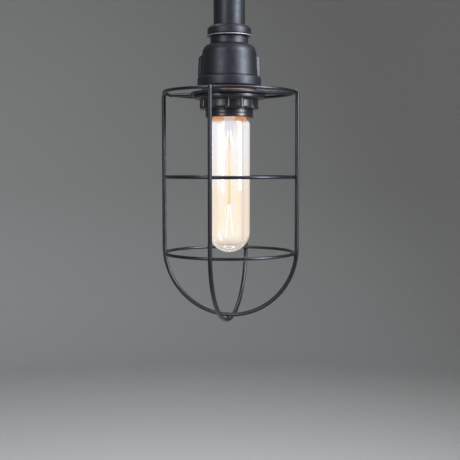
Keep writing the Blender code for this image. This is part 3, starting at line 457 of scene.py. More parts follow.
def lit_glass():
    finish, shader = new_finish("clear_lit_glass", (1.0, 0.99, 0.97), 0.0)
    shader.inputs["Transmission Weight"].default_value = 1.0
    shader.inputs["IOR"].default_value = 1.46
    # Painted glow: the glass's emission stands in for the glare of the lit bulb, and fades out towards the
    # tip.
    fade = height_ramp(finish, GLASS_BOTTOM - 0.2 * GLASS_RADIUS, GLASS_BOTTOM + 0.8 * GLASS_RADIUS)
    spread(finish, fade, 0.0, 0.185, shader.inputs["Emission Strength"], 0.0, 1.0)
    peach, cool, orange = (1.0, 0.84, 0.67), (0.95, 0.94, 0.99), (0.60, 0.19, 0.03)
    low_part = MOUTH - 62 * MM
    blend = add_node(finish, "ShaderNodeMix", data_type="RGBA")
    blend.inputs["A"].default_value = (*peach, 1)
    blend.inputs["B"].default_value = (*cool, 1)
    link(finish, height_ramp(finish, low_part, low_part + 42 * MM), blend.inputs["Factor"])
    # Painted reflection: an orange band at the top of the glass, where the lit mouth of the holder shows in
    # it.
    painted_mouth_reflection = add_node(finish, "ShaderNodeMix", data_type="RGBA")
    painted_mouth_reflection.inputs["B"].default_value = (*orange, 1)
    link(finish, blend.outputs["Result"], painted_mouth_reflection.inputs["A"])
    link(finish, height_ramp(finish, MOUTH - 4.2 * MM, MOUTH - 2.4 * MM), painted_mouth_reflection.inputs["Factor"])
    link(finish, painted_mouth_reflection.outputs["Result"], shader.inputs["Emission Color"])
    spread(finish, grain(finish, 12 * MM), 0.0, 0.03, shader.inputs["Roughness"])
    return finish


def glowing(name, colour, strength):
    """Bare emission. The surface itself is black, so that the lamp inside the bulb doesn't light it twice."""
    finish, shader = new_finish(name, (0.0, 0.0, 0.0), 0.6)
    shader.inputs["Specular IOR Level"].default_value = 0.0
    shader.inputs["Emission Color"].default_value = (*colour, 1)
    shader.inputs["Emission Strength"].default_value = strength
    return finish, shader


def hot_wire():
    finish, shader = glowing("white_hot_filament", (1.0, 0.72, 0.36), 0.85)
    tint(finish, grain(finish, 3 * MM), (1.0, 0.60, 0.25), (1.0, 0.84, 0.55), shader.inputs["Emission Color"])
    return finish


def halo_light():
    finish, shader = glowing("filament_halo", (1.0, 0.97, 0.92), 1.0)
    streaks = grain(finish, 6 * MM, stretch=(1, 1, 0.2))
    tint(finish, streaks, (1.0, 0.93, 0.82), (1.0, 1.0, 1.0), shader.inputs["Emission Color"])
    fade_in = height_ramp(finish, HALO_BOTTOM, HALO_BOTTOM + 7 * MM)
    fade_out = height_ramp(finish, HALO_TOP, HALO_TOP - 14 * MM)
    both = add_node(finish, "ShaderNodeMath", operation="MULTIPLY")
    link(finish, fade_in, both.inputs[0])
    link(finish, fade_out, both.inputs[1])
    spread(finish, both.outputs[0], 0.0, 0.052, shader.inputs["Alpha"], 0.0, 1.0)
    return finish


def lit_resin():
    """Painted glow: the lip of the holder's mouth, in the bulb's own light."""
    colour = (1.0, 0.36, 0.07)
    darker = tuple(0.85 * part for part in colour)
    finish, shader = glowing("phenolic_lit_by_the_bulb", colour, 0.30)
    tint(finish, grain(finish, 2 * MM), colour, darker, shader.inputs["Emission Color"])
    return finish


def stem_glass():
    """Painted glow: pale above the press, and amber on the rod and bead, where the filament's light falls on
    them.
    """
    amber, pale = (1.0, 0.60, 0.10), (0.80, 0.79, 0.84)
    finish, shader = glowing("stem_glass_painted_glow", amber, 0.55)
    above = height_ramp(finish, PRESS - 3 * MM, PRESS + 1 * MM)
    tint(finish, above, amber, pale, shader.inputs["Emission Color"], 0.0, 1.0)
    return finish


clear_glass = lit_glass()
hot_filament = hot_wire()
halo = halo_light()
stem_painted_glow = stem_glass()
lit_phenolic = lit_resin()
print(len(bpy.data.materials), "finishes")

# %% [markdown]
# ## Pipe and fittings
# The drop pipe is plain black tube. Above it a malleable elbow has the thick bands that give a casting's
# thread its strength, and the bands run into the bend with a soft foundry fillet. A Boolean of a swept
# tube and two rings would leave hard creases there. So the elbow is spun along a bent track: one outline
# of radius against distance, carried down the leg, round the bend and out along the other leg.

# %% Drop pipe and arm pipe
PIPE_RADIUS = radius_of("drop_pipe")
PIPE_WALL = 2.75 * MM
PIPE_HOLE = PIPE_RADIUS + 0.3 * MM


def pipe(node, start, end, place):
    corners = [(PIPE_RADIUS, end, 0.4 * MM), (PIPE_RADIUS, start, 0.4 * MM)]
    corners += [(PIPE_RADIUS - PIPE_WALL, start, 0.4 * MM), (PIPE_RADIUS - PIPE_WALL, end, 0.4 * MM)]
    return dress(spun(node + "_fine", rounded(corners), place), black_coat, node)


pipe("drop_pipe", bottom_of("drop_pipe"), top_of("drop_pipe"), LAMP)
pipe("arm_pipe", *reach_of("arm_pipe"), ARM)
print("pipe is", round(2 * PIPE_RADIUS / MM, 1), "mm across")

# %% The elbow, spun along its bent track
ELBOW_LEG = -bottom_of("elbow")
ELBOW_BEND = 20 * MM
BAND_LENGTH = 9 * MM
BODY_RADIUS = 15.8 * MM
BAND_RADIUS = radius_of("elbow")


def elbow_track(distance):
    """The centre of the track and its two side directions, this far from the wall end."""
    straight = ELBOW_LEG - ELBOW_BEND
    bend = ELBOW_BEND * math.pi / 2
    if distance < straight:
        return Vector((0, LAMP_Y + ELBOW_LEG - distance, 0)), Vector((0, 0, 1))
    if distance > straight + bend:
        return Vector((0, LAMP_Y, -ELBOW_BEND - (distance - straight - bend))), Vector((0, -1, 0))
    angle = (distance - straight) / ELBOW_BEND
    centre = Vector((0, LAMP_Y + ELBOW_BEND * (1 - math.sin(angle)), -ELBOW_BEND * (1 - math.cos(angle))))
    return centre, Vector((0, -math.sin(angle), math.cos(angle)))


def spun_along(name, outline, track, steps=96):
    shape = bmesh.new()
    rings = []
    sideways = Vector((1, 0, 0))
    for radius, distance in outline:
        centre, outward = track(distance)
        ring = []
        for angle in even_angles(steps):
            side = sideways * math.cos(angle) + outward * math.sin(angle)
            ring.append(shape.verts.new(centre + radius * side))
        rings.append(ring)
    skin(shape, list(zip(rings, rings[1:])) + [(rings[-1], rings[0])])
    return finished(shape, name)


def evenly(start, end, spacing):
    """Distances from start to end, about one spacing apart."""
    count = max(1, round(abs(end - start) / spacing))
    return [start + (end - start) * i / count for i in range(count + 1)]


def elbow():
    length = 2 * (ELBOW_LEG - ELBOW_BEND) + ELBOW_BEND * math.pi / 2
    corners = [(BAND_RADIUS, 0.3 * MM, 1.0 * MM), (BAND_RADIUS, BAND_LENGTH, 1.0 * MM)]
    corners += [(BODY_RADIUS, BAND_LENGTH + 0.8 * MM, 1.8 * MM)]
    between_bands = evenly(BAND_LENGTH + 3 * MM, length - BAND_LENGTH - 3 * MM, 1 * MM)
    body = [(BODY_RADIUS, distance, 0) for distance in between_bands]
    mirrored = [(radius, length - distance, rounding) for radius, distance, rounding in reversed(corners)]
    inside = [(PIPE_HOLE, distance, 0) for distance in evenly(length - 0.3 * MM, 0.3 * MM, 1.5 * MM)]
    inside[0] = (PIPE_HOLE, length - 0.3 * MM, 0.5 * MM)
    inside[-1] = (PIPE_HOLE, 0.3 * MM, 0.5 * MM)
    outline = rounded(corners + body + mirrored + inside)
    return dress(spun_along("elbow_casting", outline, elbow_track), black_coat, "elbow")


print("elbow casting:", len(elbow().data.polygons), "faces")

# %% [markdown]
# The lock ring screws down the pipe onto the reducer and stops it working loose. Its upper edge is turned
# to a generous dome, and a thin bright washer peeks out under it.

# %% Lock ring and its washer
def lock_ring():
    top, bottom, radius = extent_of("lock_ring")
    corners = [(radius - 2.6 * MM, top, 0.9 * MM), (radius, top - 2.3 * MM, 1.4 * MM)]
    corners += [(radius, bottom, 0.7 * MM), (PIPE_HOLE, bottom, 0.3 * MM), (PIPE_HOLE, top, 0.3 * MM)]
    return turned("lock_ring", "lock_ring_fine", black_coat, rounded(corners))


def thin_ring(node, name, finish, bore, edge):
    top, bottom, radius = extent_of(node)
    corners = [(radius, top, edge), (radius, bottom, edge), (bore, bottom, edge), (bore, top, edge)]
    return turned(node, name, finish, rounded(corners, 3))


lock_ring()
thin_ring("lock_washer", "lock_washer_fine", dull_zinc, PIPE_RADIUS + 0.4 * MM, 0.2 * MM)
print("lock ring sits at", round(bottom_of("lock_ring") / MM, 1), "mm")

# %% [markdown]
# The bell is a cast reducer: a short neck, a round shoulder, a nearly straight wall, and a thick band at
# the mouth with a groove turned over it. Two ribs down its sides are the casting's grip for a strap
# wrench. They swell out of the wall with a fillet at their foot, which is what the swell function of the
# lathe is for. The lathe's steps are packed closer where the ribs are, so a narrow rib still has a smooth
# flank.

# %% The bell reducer
BELL_TOP = top_of("reducer")
BELL_MOUTH = bottom_of("reducer")
MOUTH_RADIUS = radius_of("reducer")
NECK_RADIUS = 14.65 * MM
NECK_HEIGHT = 5.6 * MM
SHOULDER_HEIGHT = 7.5 * MM
WALL_TOP_RADIUS = 20.9 * MM
WALL_BOTTOM_RADIUS = 21.8 * MM
MOUTH_BAND = 7.6 * MM
GROOVE_HEIGHT = 0.9 * MM
GROOVE_DEPTH = 0.5 * MM
BELL_BORE = 18.0 * MM
RIB_WIDTH = 4.0 * MM
RIB_PROUD = 2.6 * MM
NIPPLE_HOLE = 5.3 * MM


def ease(value, start, end):
    """Rises smoothly from 0 to 1 as value goes from start to end."""
    t = min(max((value - start) / (end - start), 0), 1)
    return t * t * (3 - 2 * t)


def packed_angles(steps, centres, width, extra):
    """Even angles, with extra ones within a width of each centre."""
    angles = set(even_angles(steps))
    for centre in centres:
        for i in range(extra + 1):
            angles.add((centre + width * (2 * i / extra - 1)) % (2 * math.pi))
    ordered = sorted(angles)
    return [a for a, b in zip(ordered, ordered[1:] + [ordered[0] + 2 * math.pi]) if b - a > 0.0005]


def reducer():
    neck_foot = BELL_TOP - NECK_HEIGHT
    wall_top = neck_foot - SHOULDER_HEIGHT
    band_top = BELL_MOUTH + MOUTH_BAND
    foot = 1.2 * MM

    def ribs(angle, radius, along):
        if radius < WALL_TOP_RADIUS - 0.3 * MM or not band_top < along < wall_top:
            return 0
        off_centre = min(abs((angle - side + math.pi) % (2 * math.pi) - math.pi) for side in (0, math.pi))
        across = off_centre * radius
        rise = 1 - ease(across, RIB_WIDTH / 2 - foot, RIB_WIDTH / 2 + foot)
        return RIB_PROUD * rise * (1 - ease(along, wall_top - 3.0 * MM, wall_top - 0.2 * MM))

    corners = [(NECK_RADIUS, BELL_TOP, 0.6 * MM), (NECK_RADIUS, neck_foot, 0.5 * MM)]
    rise = WALL_TOP_RADIUS - NECK_RADIUS
    for i in range(2, 15):
        angle = math.pi / 2 * i / 14
        height = neck_foot - SHOULDER_HEIGHT * (1 - math.cos(angle))
        corners.append((NECK_RADIUS + rise * math.sin(angle), height, 0))
    for along in evenly(wall_top, band_top + GROOVE_HEIGHT + 0.4 * MM, 0.6 * MM)[1:]:
        share = (wall_top - along) / (wall_top - band_top)
        corners.append((WALL_TOP_RADIUS + (WALL_BOTTOM_RADIUS - WALL_TOP_RADIUS) * share, along, 0))
    groove_floor, groove_top = WALL_BOTTOM_RADIUS - GROOVE_DEPTH, band_top + GROOVE_HEIGHT
    corners += [(WALL_BOTTOM_RADIUS, groove_top, 0.2 * MM), (groove_floor, groove_top, 0.15 * MM)]
    corners += [(groove_floor, band_top, 0.15 * MM), (MOUTH_RADIUS, band_top, 1.3 * MM)]
    corners += [(MOUTH_RADIUS, BELL_MOUTH, 1.1 * MM), (BELL_BORE, BELL_MOUTH, 0.5 * MM)]
    ceiling_top, ceiling_bottom = neck_foot + 0.3 * MM, neck_foot - 5.5 * MM
    corners += [(BELL_BORE, ceiling_bottom, 1.0 * MM), (NIPPLE_HOLE, ceiling_bottom, 0.3 * MM)]
    corners += [(NIPPLE_HOLE, ceiling_top, 0.3 * MM), (PIPE_HOLE, ceiling_top, 0.5 * MM)]
    corners.append((PIPE_HOLE, BELL_TOP, 0.4 * MM))
    turns = packed_angles(120, (0, math.pi), 0.16, 28)
    return turned("reducer", "bell_reducer", black_coat, rounded(corners), turns, ribs)


print("bell reducer:", len(reducer().data.polygons), "faces")

# %% [markdown]
# ## Lampholder
# The holder's barrel carries an outside thread for the shade ring. A thread is drawn honestly here, as a
# ridge that climbs one pitch for each turn, because it comes into view when the ring is screwed down. The
# same helix is used for the bulb's cap and for the shell that it screws into, with the pitch that the
# joints of the working model use, so a half-unscrewed bulb still sits in its thread.

# %% A screw thread as a swell
def pitch_of(slide):
    """The travel for one turn, from the coupling of this slide and its hinge, whichever leads."""
    for row in frame["record"]["behaviour"]["couplings"]:
        if row["joint"] == slide:
            return 2 * math.pi * row["ratio"]
        if row["follows"] == slide:
            return 2 * math.pi / row["ratio"]


def thread(pitch, depth, start, end, outer_only=0.0):
    """A right-hand thread: the ridge is at its full radius and the groove is one depth deeper."""
    def swell(angle, radius, along):
        if radius < outer_only:
            return 0
        wave = 0.5 + 0.5 * math.cos(2 * math.pi * along / pitch - angle)
        fade = ease(along, start, start + pitch / 2) * (1 - ease(along, end - pitch / 2, end))
        return -depth * (1 - wave) * fade
    return swell


RING_PITCH = pitch_of("cage_drop")
BULB_PITCH = pitch_of("bulb_drop")
print("shade ring pitch", round(RING_PITCH / MM, 3), "mm, bulb pitch", round(BULB_PITCH / MM, 3), "mm")

# %% Holder cap, barrel and brass washer
BARREL_RADIUS = 18.6 * MM


def holder_cap():
    top, bottom, radius = extent_of("holder_cap")
    wall, roof = 1.7 * MM, 3.0 * MM
    corners = [(radius, top, 1.0 * MM), (radius, bottom, 0.3 * MM), (radius - wall, bottom, 0.3 * MM)]
    corners += [(radius - wall, top - roof, 0.8 * MM), (NIPPLE_HOLE, top - roof, 0.3 * MM)]
    corners.append((NIPPLE_HOLE, top, 0.3 * MM))
    return turned("holder_cap", "holder_cap_fine", black_phenolic, rounded(corners))


def holder_barrel():
    top, bottom, shoulder = extent_of("holder_barrel")
    shoulder_top, shoulder_bottom = BELL_MOUTH - 0.3 * MM, BELL_MOUTH - 2.3 * MM
    upper, upper_bore, bore = 17.4 * MM, 15.7 * MM, 15.9 * MM
    corners = [(upper, top, 0.3 * MM), (upper, shoulder_top, 0.2 * MM), (shoulder, shoulder_top, 0.4 * MM)]
    corners += [(shoulder, shoulder_bottom, 0.4 * MM), (BARREL_RADIUS, shoulder_bottom, 0.2 * MM)]
    threaded = evenly(shoulder_bottom - 0.5 * MM, bottom + 1 * MM, 0.22 * MM)
    corners += [(BARREL_RADIUS, along, 0) for along in threaded]
    corners += [(BARREL_RADIUS, bottom, 0.6 * MM), (bore, bottom, 0.5 * MM), (bore, bottom + 6 * MM, 0)]
    corners.append((bore, shoulder_bottom, 0))
    corners += [(upper_bore, shoulder_top, 0), (upper_bore, top, 0)]
    start, end = bottom + 0.8 * MM, shoulder_bottom - 1 * MM
    climb = thread(RING_PITCH, 0.12 * MM, start, end, outer_only=BARREL_RADIUS - 0.1 * MM)
    outline = rounded(corners, 4)
    made = turned("holder_barrel", "holder_barrel_threaded", black_phenolic, outline, 120, climb)
    # Painted glow: the faces low in the bore take the orange emission of the bulb's light on the mouth.
    made.data.materials.append(lit_phenolic)
    for face in made.data.polygons:
        out = math.hypot(face.center.x, face.center.y - LAMP_Y)
        if out < bore + 0.2 * MM and face.center.z < bottom + 6 * MM:
            face.material_index = 1
    return made


holder_cap()
print("holder barrel:", len(holder_barrel().data.polygons), "faces")
# Partly painted light: the washer's red-brown fibre colour stands in for the bulb's orange glow under the
# reducer.
thin_ring("holder_washer", "holder_washer_fine", red_fibre, BARREL_RADIUS + 0.3 * MM, 0.15 * MM)

# %% [markdown]
# The shade ring is what fingers turn to let the cage off. Its flange presses the cage's hub against the
# holder, and its skirt has twelve flat-topped ribs with shallow panels between them. A real ring comes
# out of a mould, so every panel has a radius round it. The ribs are a swell again, with a soft foot.

# %% The shade ring
RIB_COUNT = 12
FIRST_RIB = math.radians(-94.0)


def shade_ring():
    top, bottom, flange = extent_of("shade_ring")
    flange_bottom = top - 3.0 * MM
    grip, bore = 22.3 * MM, BARREL_RADIUS + 0.4 * MM
    proud, width, foot = 0.9 * MM, 2.2 * MM, 0.45 * MM

    def panels(angle, radius, along):
        if radius < grip - 1.2 * MM or radius > grip + 0.6 * MM or along > flange_bottom:
            return 0
        spacing = 2 * math.pi / RIB_COUNT
        across = abs((angle - FIRST_RIB + spacing / 2) % spacing - spacing / 2) * radius
        rib = 1 - ease(across, width / 2 - foot, width / 2 + foot)
        lip = 1 - ease(along, bottom + 0.8 * MM, bottom + 1.5 * MM)
        crown = 0.7 * ease(along, flange_bottom - 1.4 * MM, flange_bottom - 0.2 * MM)
        return proud * max(rib, lip, crown) - (proud - 0.6 * MM)

    corners = [(flange, top, 0.7 * MM), (flange, flange_bottom, 0.9 * MM), (grip, flange_bottom, 0.5 * MM)]
    corners += [(grip, along, 0) for along in evenly(flange_bottom - 0.8 * MM, bottom + 1.2 * MM, 0.35 * MM)]
    corners += [(grip, bottom, 0.8 * MM), (bore, bottom, 0.5 * MM), (bore, top, 0.4 * MM)]
    outline = rounded(corners, 6)
    return turned("shade_ring", "shade_ring_moulded", black_phenolic, outline, 432, panels)


print("shade ring:", len(shade_ring().data.polygons), "faces")

# %% [markdown]
# Inside the holder a porcelain core carries the brass screw shell, the centre contact and the two
# terminals. The core and the shell show past the bulb's cap, so they are made finer. The contact, rivet,
# terminals, nipple and nuts are already the right shape in the working model, and only take a proper
# finish.

# %% Core, shell and the small parts inside
def core():
    top, bottom, radius = extent_of("holder_core")
    floor, bore = top - 5.0 * MM, radius_of("screw_shell") + 0.3 * MM
    corners = [(0, top, 0), (radius, top, 0.6 * MM), (radius, bottom, 0.5 * MM), (bore, bottom, 0.5 * MM)]
    corners += [(bore, floor, 0.5 * MM), (0, floor, 0)]
    return turned("holder_core", "porcelain_core", porcelain, rounded(corners, closed=False))


def shell():
    top, bottom, outer = extent_of("screw_shell")
    wall, depth, floor_hole = 0.35 * MM, 0.45 * MM, 8.5 * MM
    along_wall = evenly(top - 1.2 * MM, bottom + 0.6 * MM, 0.3 * MM)
    corners = [(floor_hole, top, 0), (outer, top, 0.6 * MM)] + [(outer, along, 0) for along in along_wall]
    corners += [(outer, bottom, 0.1 * MM), (outer - wall, bottom, 0.1 * MM)]
    corners += [(outer - wall, along, 0) for along in reversed(along_wall)]
    corners += [(outer - wall, top - wall, 0.3 * MM), (floor_hole, top - wall, 0)]
    rolled = thread(BULB_PITCH, depth, bottom + 0.8 * MM, top - 1.6 * MM, outer_only=outer - 2 * wall)
    return turned("screw_shell", "brass_screw_shell", brass, rounded(corners, 3), swell=rolled)


core()
shell()
FINISH_OF_INNER = {
    "hanger_nipple": zinc, "nipple_nut_upper": brass, "nipple_nut_lower": brass, "centre_contact": brass,
    "contact_rivet": brass, "terminal_plate_line": brass, "terminal_plate_neutral": brass,
    "terminal_screw_line": zinc, "terminal_screw_neutral": zinc,
}
for node, finish in FINISH_OF_INNER.items():
    frame["nodes"][node].data.materials.clear()
    frame["nodes"][node].data.materials.append(finish)
print(len(FINISH_OF_INNER), "inner nodes keep their own shape")

# %% [markdown]
# ## The cage
# The cage is drawn steel wire, cut and bent on pegs, then resistance-welded. Wires are curves with a
# round bevel, the natural tool for anything swept, turned into meshes at the end. Where wires cross, a
# welder's electrodes leave a squashed nugget that flows from one wire to the next, so each joint gets
# one: a small ball pulled along both wires and roughened by a fixed wave.

# %% A wire from a route
def drawn(guide, name):
    """The solid that a curve object draws, its seams welded. The curve itself is thrown away."""
    bpy.context.view_layer.update()
    mesh = bpy.data.meshes.new_from_object(guide.evaluated_get(bpy.context.evaluated_depsgraph_get()))
    mesh.transform(guide.matrix_world)
    bpy.data.objects.remove(guide)
    shape = bmesh.new()
    shape.from_mesh(mesh)
    bmesh.ops.remove_doubles(shape, verts=shape.verts, dist=TINY)
    return finished(shape, name)


def wire(name, route, diameter, closed=False, roundness=8):
    curve = bpy.data.curves.new(name, "CURVE")
    curve.dimensions = "3D"
    spline = curve.splines.new("POLY")
    spline.points.add(len(route) - 1)
    for point, place in zip(spline.points, route):
        point.co = (*place, 1)
    spline.use_cyclic_u = closed
    curve.bevel_depth = diameter / 2
    curve.bevel_resolution = roundness
    curve.use_fill_caps = not closed
    return drawn(put(name, curve), name)


def about_lamp(azimuth, radius, height):
    """A point round the lamp, its azimuth measured from the room side towards +X."""
    return Vector((radius * math.sin(azimuth), LAMP_Y - radius * math.cos(azimuth), height))


def middle_of(node):
    low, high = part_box(node)
    return (low + high) / 2


front = middle_of("cage_spoke_front") - Vector((0, LAMP_Y, 0))
CAGE_TURN = math.atan2(front.x, -front.y)
QUARTERS = [CAGE_TURN + i * math.pi / 2 for i in range(4)]
print("cage is turned", round(math.degrees(CAGE_TURN), 1), "degrees")

# %% Rings, hoops and spokes
RING_WIRE = top_of("cage_top_ring") - bottom_of("cage_top_ring")
SPOKE_WIRE = top_of("cage_spoke_front") - bottom_of("cage_spoke_front")
RING_LEVELS = {}
for node in ("cage_top_ring", "cage_middle_ring", "cage_lower_ring"):
    ring_radius = radius_of(node) - RING_WIRE / 2
    ring_level = middle_of(node).z
    route = [about_lamp(angle, ring_radius, ring_level) for angle in even_angles(192)]
    dress(wire(node + "_wire", route, RING_WIRE, closed=True), wire_coat, node)
    RING_LEVELS[node] = (ring_radius, ring_level)

HOOP_RADIUS = RING_LEVELS["cage_top_ring"][0] + (RING_WIRE + SPOKE_WIRE) / 2 + 0.2 * MM
for node, azimuth in (("cage_hoop_side", QUARTERS[1]), ("cage_hoop_front", QUARTERS[0])):
    top = RING_LEVELS["cage_top_ring"][1] - 0.5 * MM
    dome = bottom_of(node) + SPOKE_WIRE / 2 + HOOP_RADIUS
    arch = [math.pi * i / 96 for i in range(97)]
    legs_down = [(HOOP_RADIUS, height) for height in evenly(top, dome, 6 * MM)[:-1]]
    over = [(HOOP_RADIUS * math.cos(a), dome - HOOP_RADIUS * math.sin(a)) for a in arch]
    legs_up = [(-HOOP_RADIUS, height) for _, height in reversed(legs_down)]
    route = [about_lamp(azimuth, across, height) for across, height in legs_down + over + legs_up]
    dress(wire(node + "_wire", route, SPOKE_WIRE), wire_coat, node)

HUB_RADIUS = radius_of("cage_hub")
SPOKE_LEVEL = middle_of("cage_spoke_front").z
for quarter, azimuth in zip(("front", "right", "back", "left"), QUARTERS):
    ends = (HUB_RADIUS + 0.3 * MM, RING_LEVELS["cage_top_ring"][0] - RING_WIRE / 2 - 0.3 * MM)
    route = [about_lamp(azimuth, radius, SPOKE_LEVEL) for radius in evenly(*ends, 2 * MM)]
    dress(wire(f"cage_spoke_{quarter}_wire", route, SPOKE_WIRE), wire_coat, f"cage_spoke_{quarter}")
print("ring wire", round(RING_WIRE / MM, 2), "mm, hoop wire", round(SPOKE_WIRE / MM, 2), "mm")

# %% Hub plate
thin_ring("cage_hub", "cage_hub_plate", black_coat, BARREL_RADIUS + 0.4 * MM, 0.7 * MM)

# %% Weld nuggets where the wires meet
def nuggets(name, spots, body="cage"):
    """One piece of welds. Each spot is (place, azimuth, outward size, sideways size, upward size)."""
    shape = bmesh.new()
    for place, azimuth, outward, sideways, upward in spots:
        ball = bmesh.ops.create_icosphere(shape, subdivisions=4, radius=1)["verts"]
        turn = Matrix.Rotation(azimuth, 3, "Z")
        for vertex in ball:
            x, y, z = vertex.co
            ripple = 1 + 0.06 * math.sin(5 * x + 3 * z + 9 * azimuth) * math.cos(4 * y - 2 * z)
            vertex.co = place + turn @ Vector((x * sideways, -y * outward, z * upward)) * ripple
    return dress(finished(shape, name), wire_coat, body=body, slot="black_metal")


def crossing_welds(node, size, spread_out):
    ring_radius, level = RING_LEVELS[node]
    dome = bottom_of("cage_hoop_side") + SPOKE_WIRE / 2 + HOOP_RADIUS
    inset = HOOP_RADIUS - math.sqrt(HOOP_RADIUS**2 - min(0, level - dome) ** 2)
    place = (ring_radius + HOOP_RADIUS - inset) / 2
    return [(about_lamp(a, place, level), a, spread_out, size, size) for a in QUARTERS]


nuggets("cage_welds_top", crossing_welds("cage_top_ring", 1.7 * MM, 2.4 * MM))
nuggets("cage_welds_middle", crossing_welds("cage_middle_ring", 1.55 * MM, 2.3 * MM))
nuggets("cage_welds_lower", crossing_welds("cage_lower_ring", 1.55 * MM, 2.3 * MM))
hub_spots = [(about_lamp(a, HUB_RADIUS, SPOKE_LEVEL), a, 2.4 * MM, 2.0 * MM, 1.5 * MM) for a in QUARTERS]
nuggets("cage_welds_hub", hub_spots)
crossing = (bottom_of("cage_hoop_front") + SPOKE_WIRE + bottom_of("cage_hoop_side")) / 2
nuggets("cage_weld_dome", [(Vector((0, LAMP_Y, crossing)), CAGE_TURN, 2.0 * MM, 2.0 * MM, 1.6 * MM)])

# %% [markdown]
# ## The bulb
# The bulb is a thin-walled tube with a round end, sealed to a stem that holds the filament. The glass is
# a real wall, inside and out, because the two surfaces together make the dark and bright lines at its
# edges. It throws no shadow, or the light inside could only get out by chance paths, which render as
# noise.

# %% Glass
CAP_BOTTOM = bottom_of("bulb_cap")
CAP_RADIUS = radius_of("bulb_cap")


def glass():
    wall = 0.8 * MM
    neck = CAP_RADIUS - 0.8 * MM
    flare, shoulder = CAP_BOTTOM - 0.3 * MM, BULB_TOP - 34.3 * MM
    dome = GLASS_BOTTOM + GLASS_RADIUS

    def side(inset):
        radius = GLASS_RADIUS - inset
        points = [(neck - inset, GLASS_TOP)]
        for along in evenly(flare, shoulder, 0.5 * MM):
            points.append((neck - inset + (GLASS_RADIUS - neck) * ease(along, flare, shoulder), along))
        points += [(radius, along) for along in evenly(shoulder, dome, 8 * MM)[1:-1]]
        for i in range(33):
            angle = math.pi / 2 * i / 32
            points.append((radius * math.cos(angle), dome - radius * math.sin(angle)))
        points[-1] = (0, points[-1][1])
        return points

    made = spun("bulb_glass_blown", side(wall)[::-1] + side(0), LAMP, 128)
    made.visible_shadow = False
    return dress(made, clear_glass, "bulb_glass")


print("glass:", len(glass().data.polygons), "faces")

# %% Cap, insulator and tip
def bulb_cap():
    top, bottom = top_of("bulb_cap"), CAP_BOTTOM
    skin_thickness, depth = 0.3 * MM, 0.9 * MM
    along_wall = evenly(top - 1.4 * MM, bottom + 0.8 * MM, 0.25 * MM)
    inner = CAP_RADIUS - skin_thickness
    corners = [(10.4 * MM, top, 0), (CAP_RADIUS - 0.3 * MM, top - 0.6 * MM, 0.8 * MM)]
    corners += [(CAP_RADIUS, along, 0) for along in along_wall]
    corners += [(CAP_RADIUS, bottom, 0.1 * MM), (inner, bottom, 0.1 * MM)]
    corners += [(inner, along, 0) for along in reversed(along_wall)] + [(10.4 * MM, top - 0.5 * MM, 0)]
    rolled = thread(BULB_PITCH, depth, bottom + 1.6 * MM, top - 1.0 * MM, outer_only=inner - 0.1 * MM)
    return turned("bulb_cap", "bulb_cap_rolled", brass, rounded(corners, 4), swell=rolled)


def insulator():
    top, bottom, radius = extent_of("bulb_insulator")
    corners = [(0, top, 0), (5.0 * MM, top, 0.6 * MM), (radius, bottom + 2.0 * MM, 0.8 * MM)]
    corners += [(radius, bottom, 0.3 * MM), (0, bottom, 0)]
    return turned("bulb_insulator", "bulb_insulator_fine", vitrite, rounded(corners, closed=False), 64)


def tip():
    top, bottom, radius = extent_of("bulb_tip")
    corners = [(0, top, 0), (0.6 * radius, top, 1.5 * MM), (radius, top - 0.7 * MM, 0.4 * MM)]
    corners += [(radius, bottom, 0.1 * MM), (0, bottom, 0)]
    return turned("bulb_tip", "bulb_tip_solder", zinc, rounded(corners, closed=False), 64)


print("cap:", len(bulb_cap().data.polygons), "faces")
insulator()
tip()

# %% [markdown]
# Inside stands the stem: a flared tube pressed flat where the leads pass through it, drawn out into a
# thin rod that ends in a bead. Fine hooks at the top and the bead hold the filament, which runs up and
# down between them like the bars of a small cage. Lit, the wire is far too bright to see, and the halo
# stands for what is seen in its place.

# %% Stem, rod and bead
def stem():
    top, bottom = top_of("bulb_stem"), bottom_of("bulb_stem")
    corners = [(0, top, 0), (7.5 * MM, top, 0.3 * MM), (4.2 * MM, top - 8 * MM, 3 * MM)]
    corners += [(3.2 * MM, PRESS + 4 * MM, 1 * MM), (3.0 * MM, PRESS, 0.8 * MM)]
    corners += [(1.0 * MM, PRESS - 2.5 * MM, 0.8 * MM), (0.9 * MM, PRESS - 20 * MM, 0)]
    corners += [(1.15 * MM, bottom + 3 * MM, 0), (1.9 * MM, bottom + 2.2 * MM, 0.5 * MM)]
    corners += [(1.8 * MM, bottom + 0.7 * MM, 0.6 * MM), (0, bottom, 0)]

    def pressed(angle, radius, along):
        flat = 1 - ease(abs(along - PRESS - 2 * MM), 2 * MM, 5 * MM)
        return -0.45 * radius * flat * math.sin(angle) ** 2

    outline = rounded(corners, closed=False)
    return turned("bulb_stem", "bulb_stem_pressed", stem_painted_glow, outline, 48, pressed)


print("stem:", len(stem().data.polygons), "faces")

# %% Filament, hooks and leads in
FILAMENT_TOP, FILAMENT_BOTTOM = top_of("filament"), bottom_of("filament")
FILAMENT_RADIUS = 7.5 * MM
STRANDS = 16


def filament():
    route = []
    for i in range(STRANDS + 1):
        azimuth = 2 * math.pi * i / STRANDS
        height = FILAMENT_TOP - 0.5 * MM if i % 2 == 0 else FILAMENT_BOTTOM + 0.5 * MM
        route.append(about_lamp(azimuth, FILAMENT_RADIUS, height))
    return dress(wire("filament_strands", route, 0.35 * MM, roundness=2), hot_filament, "filament")


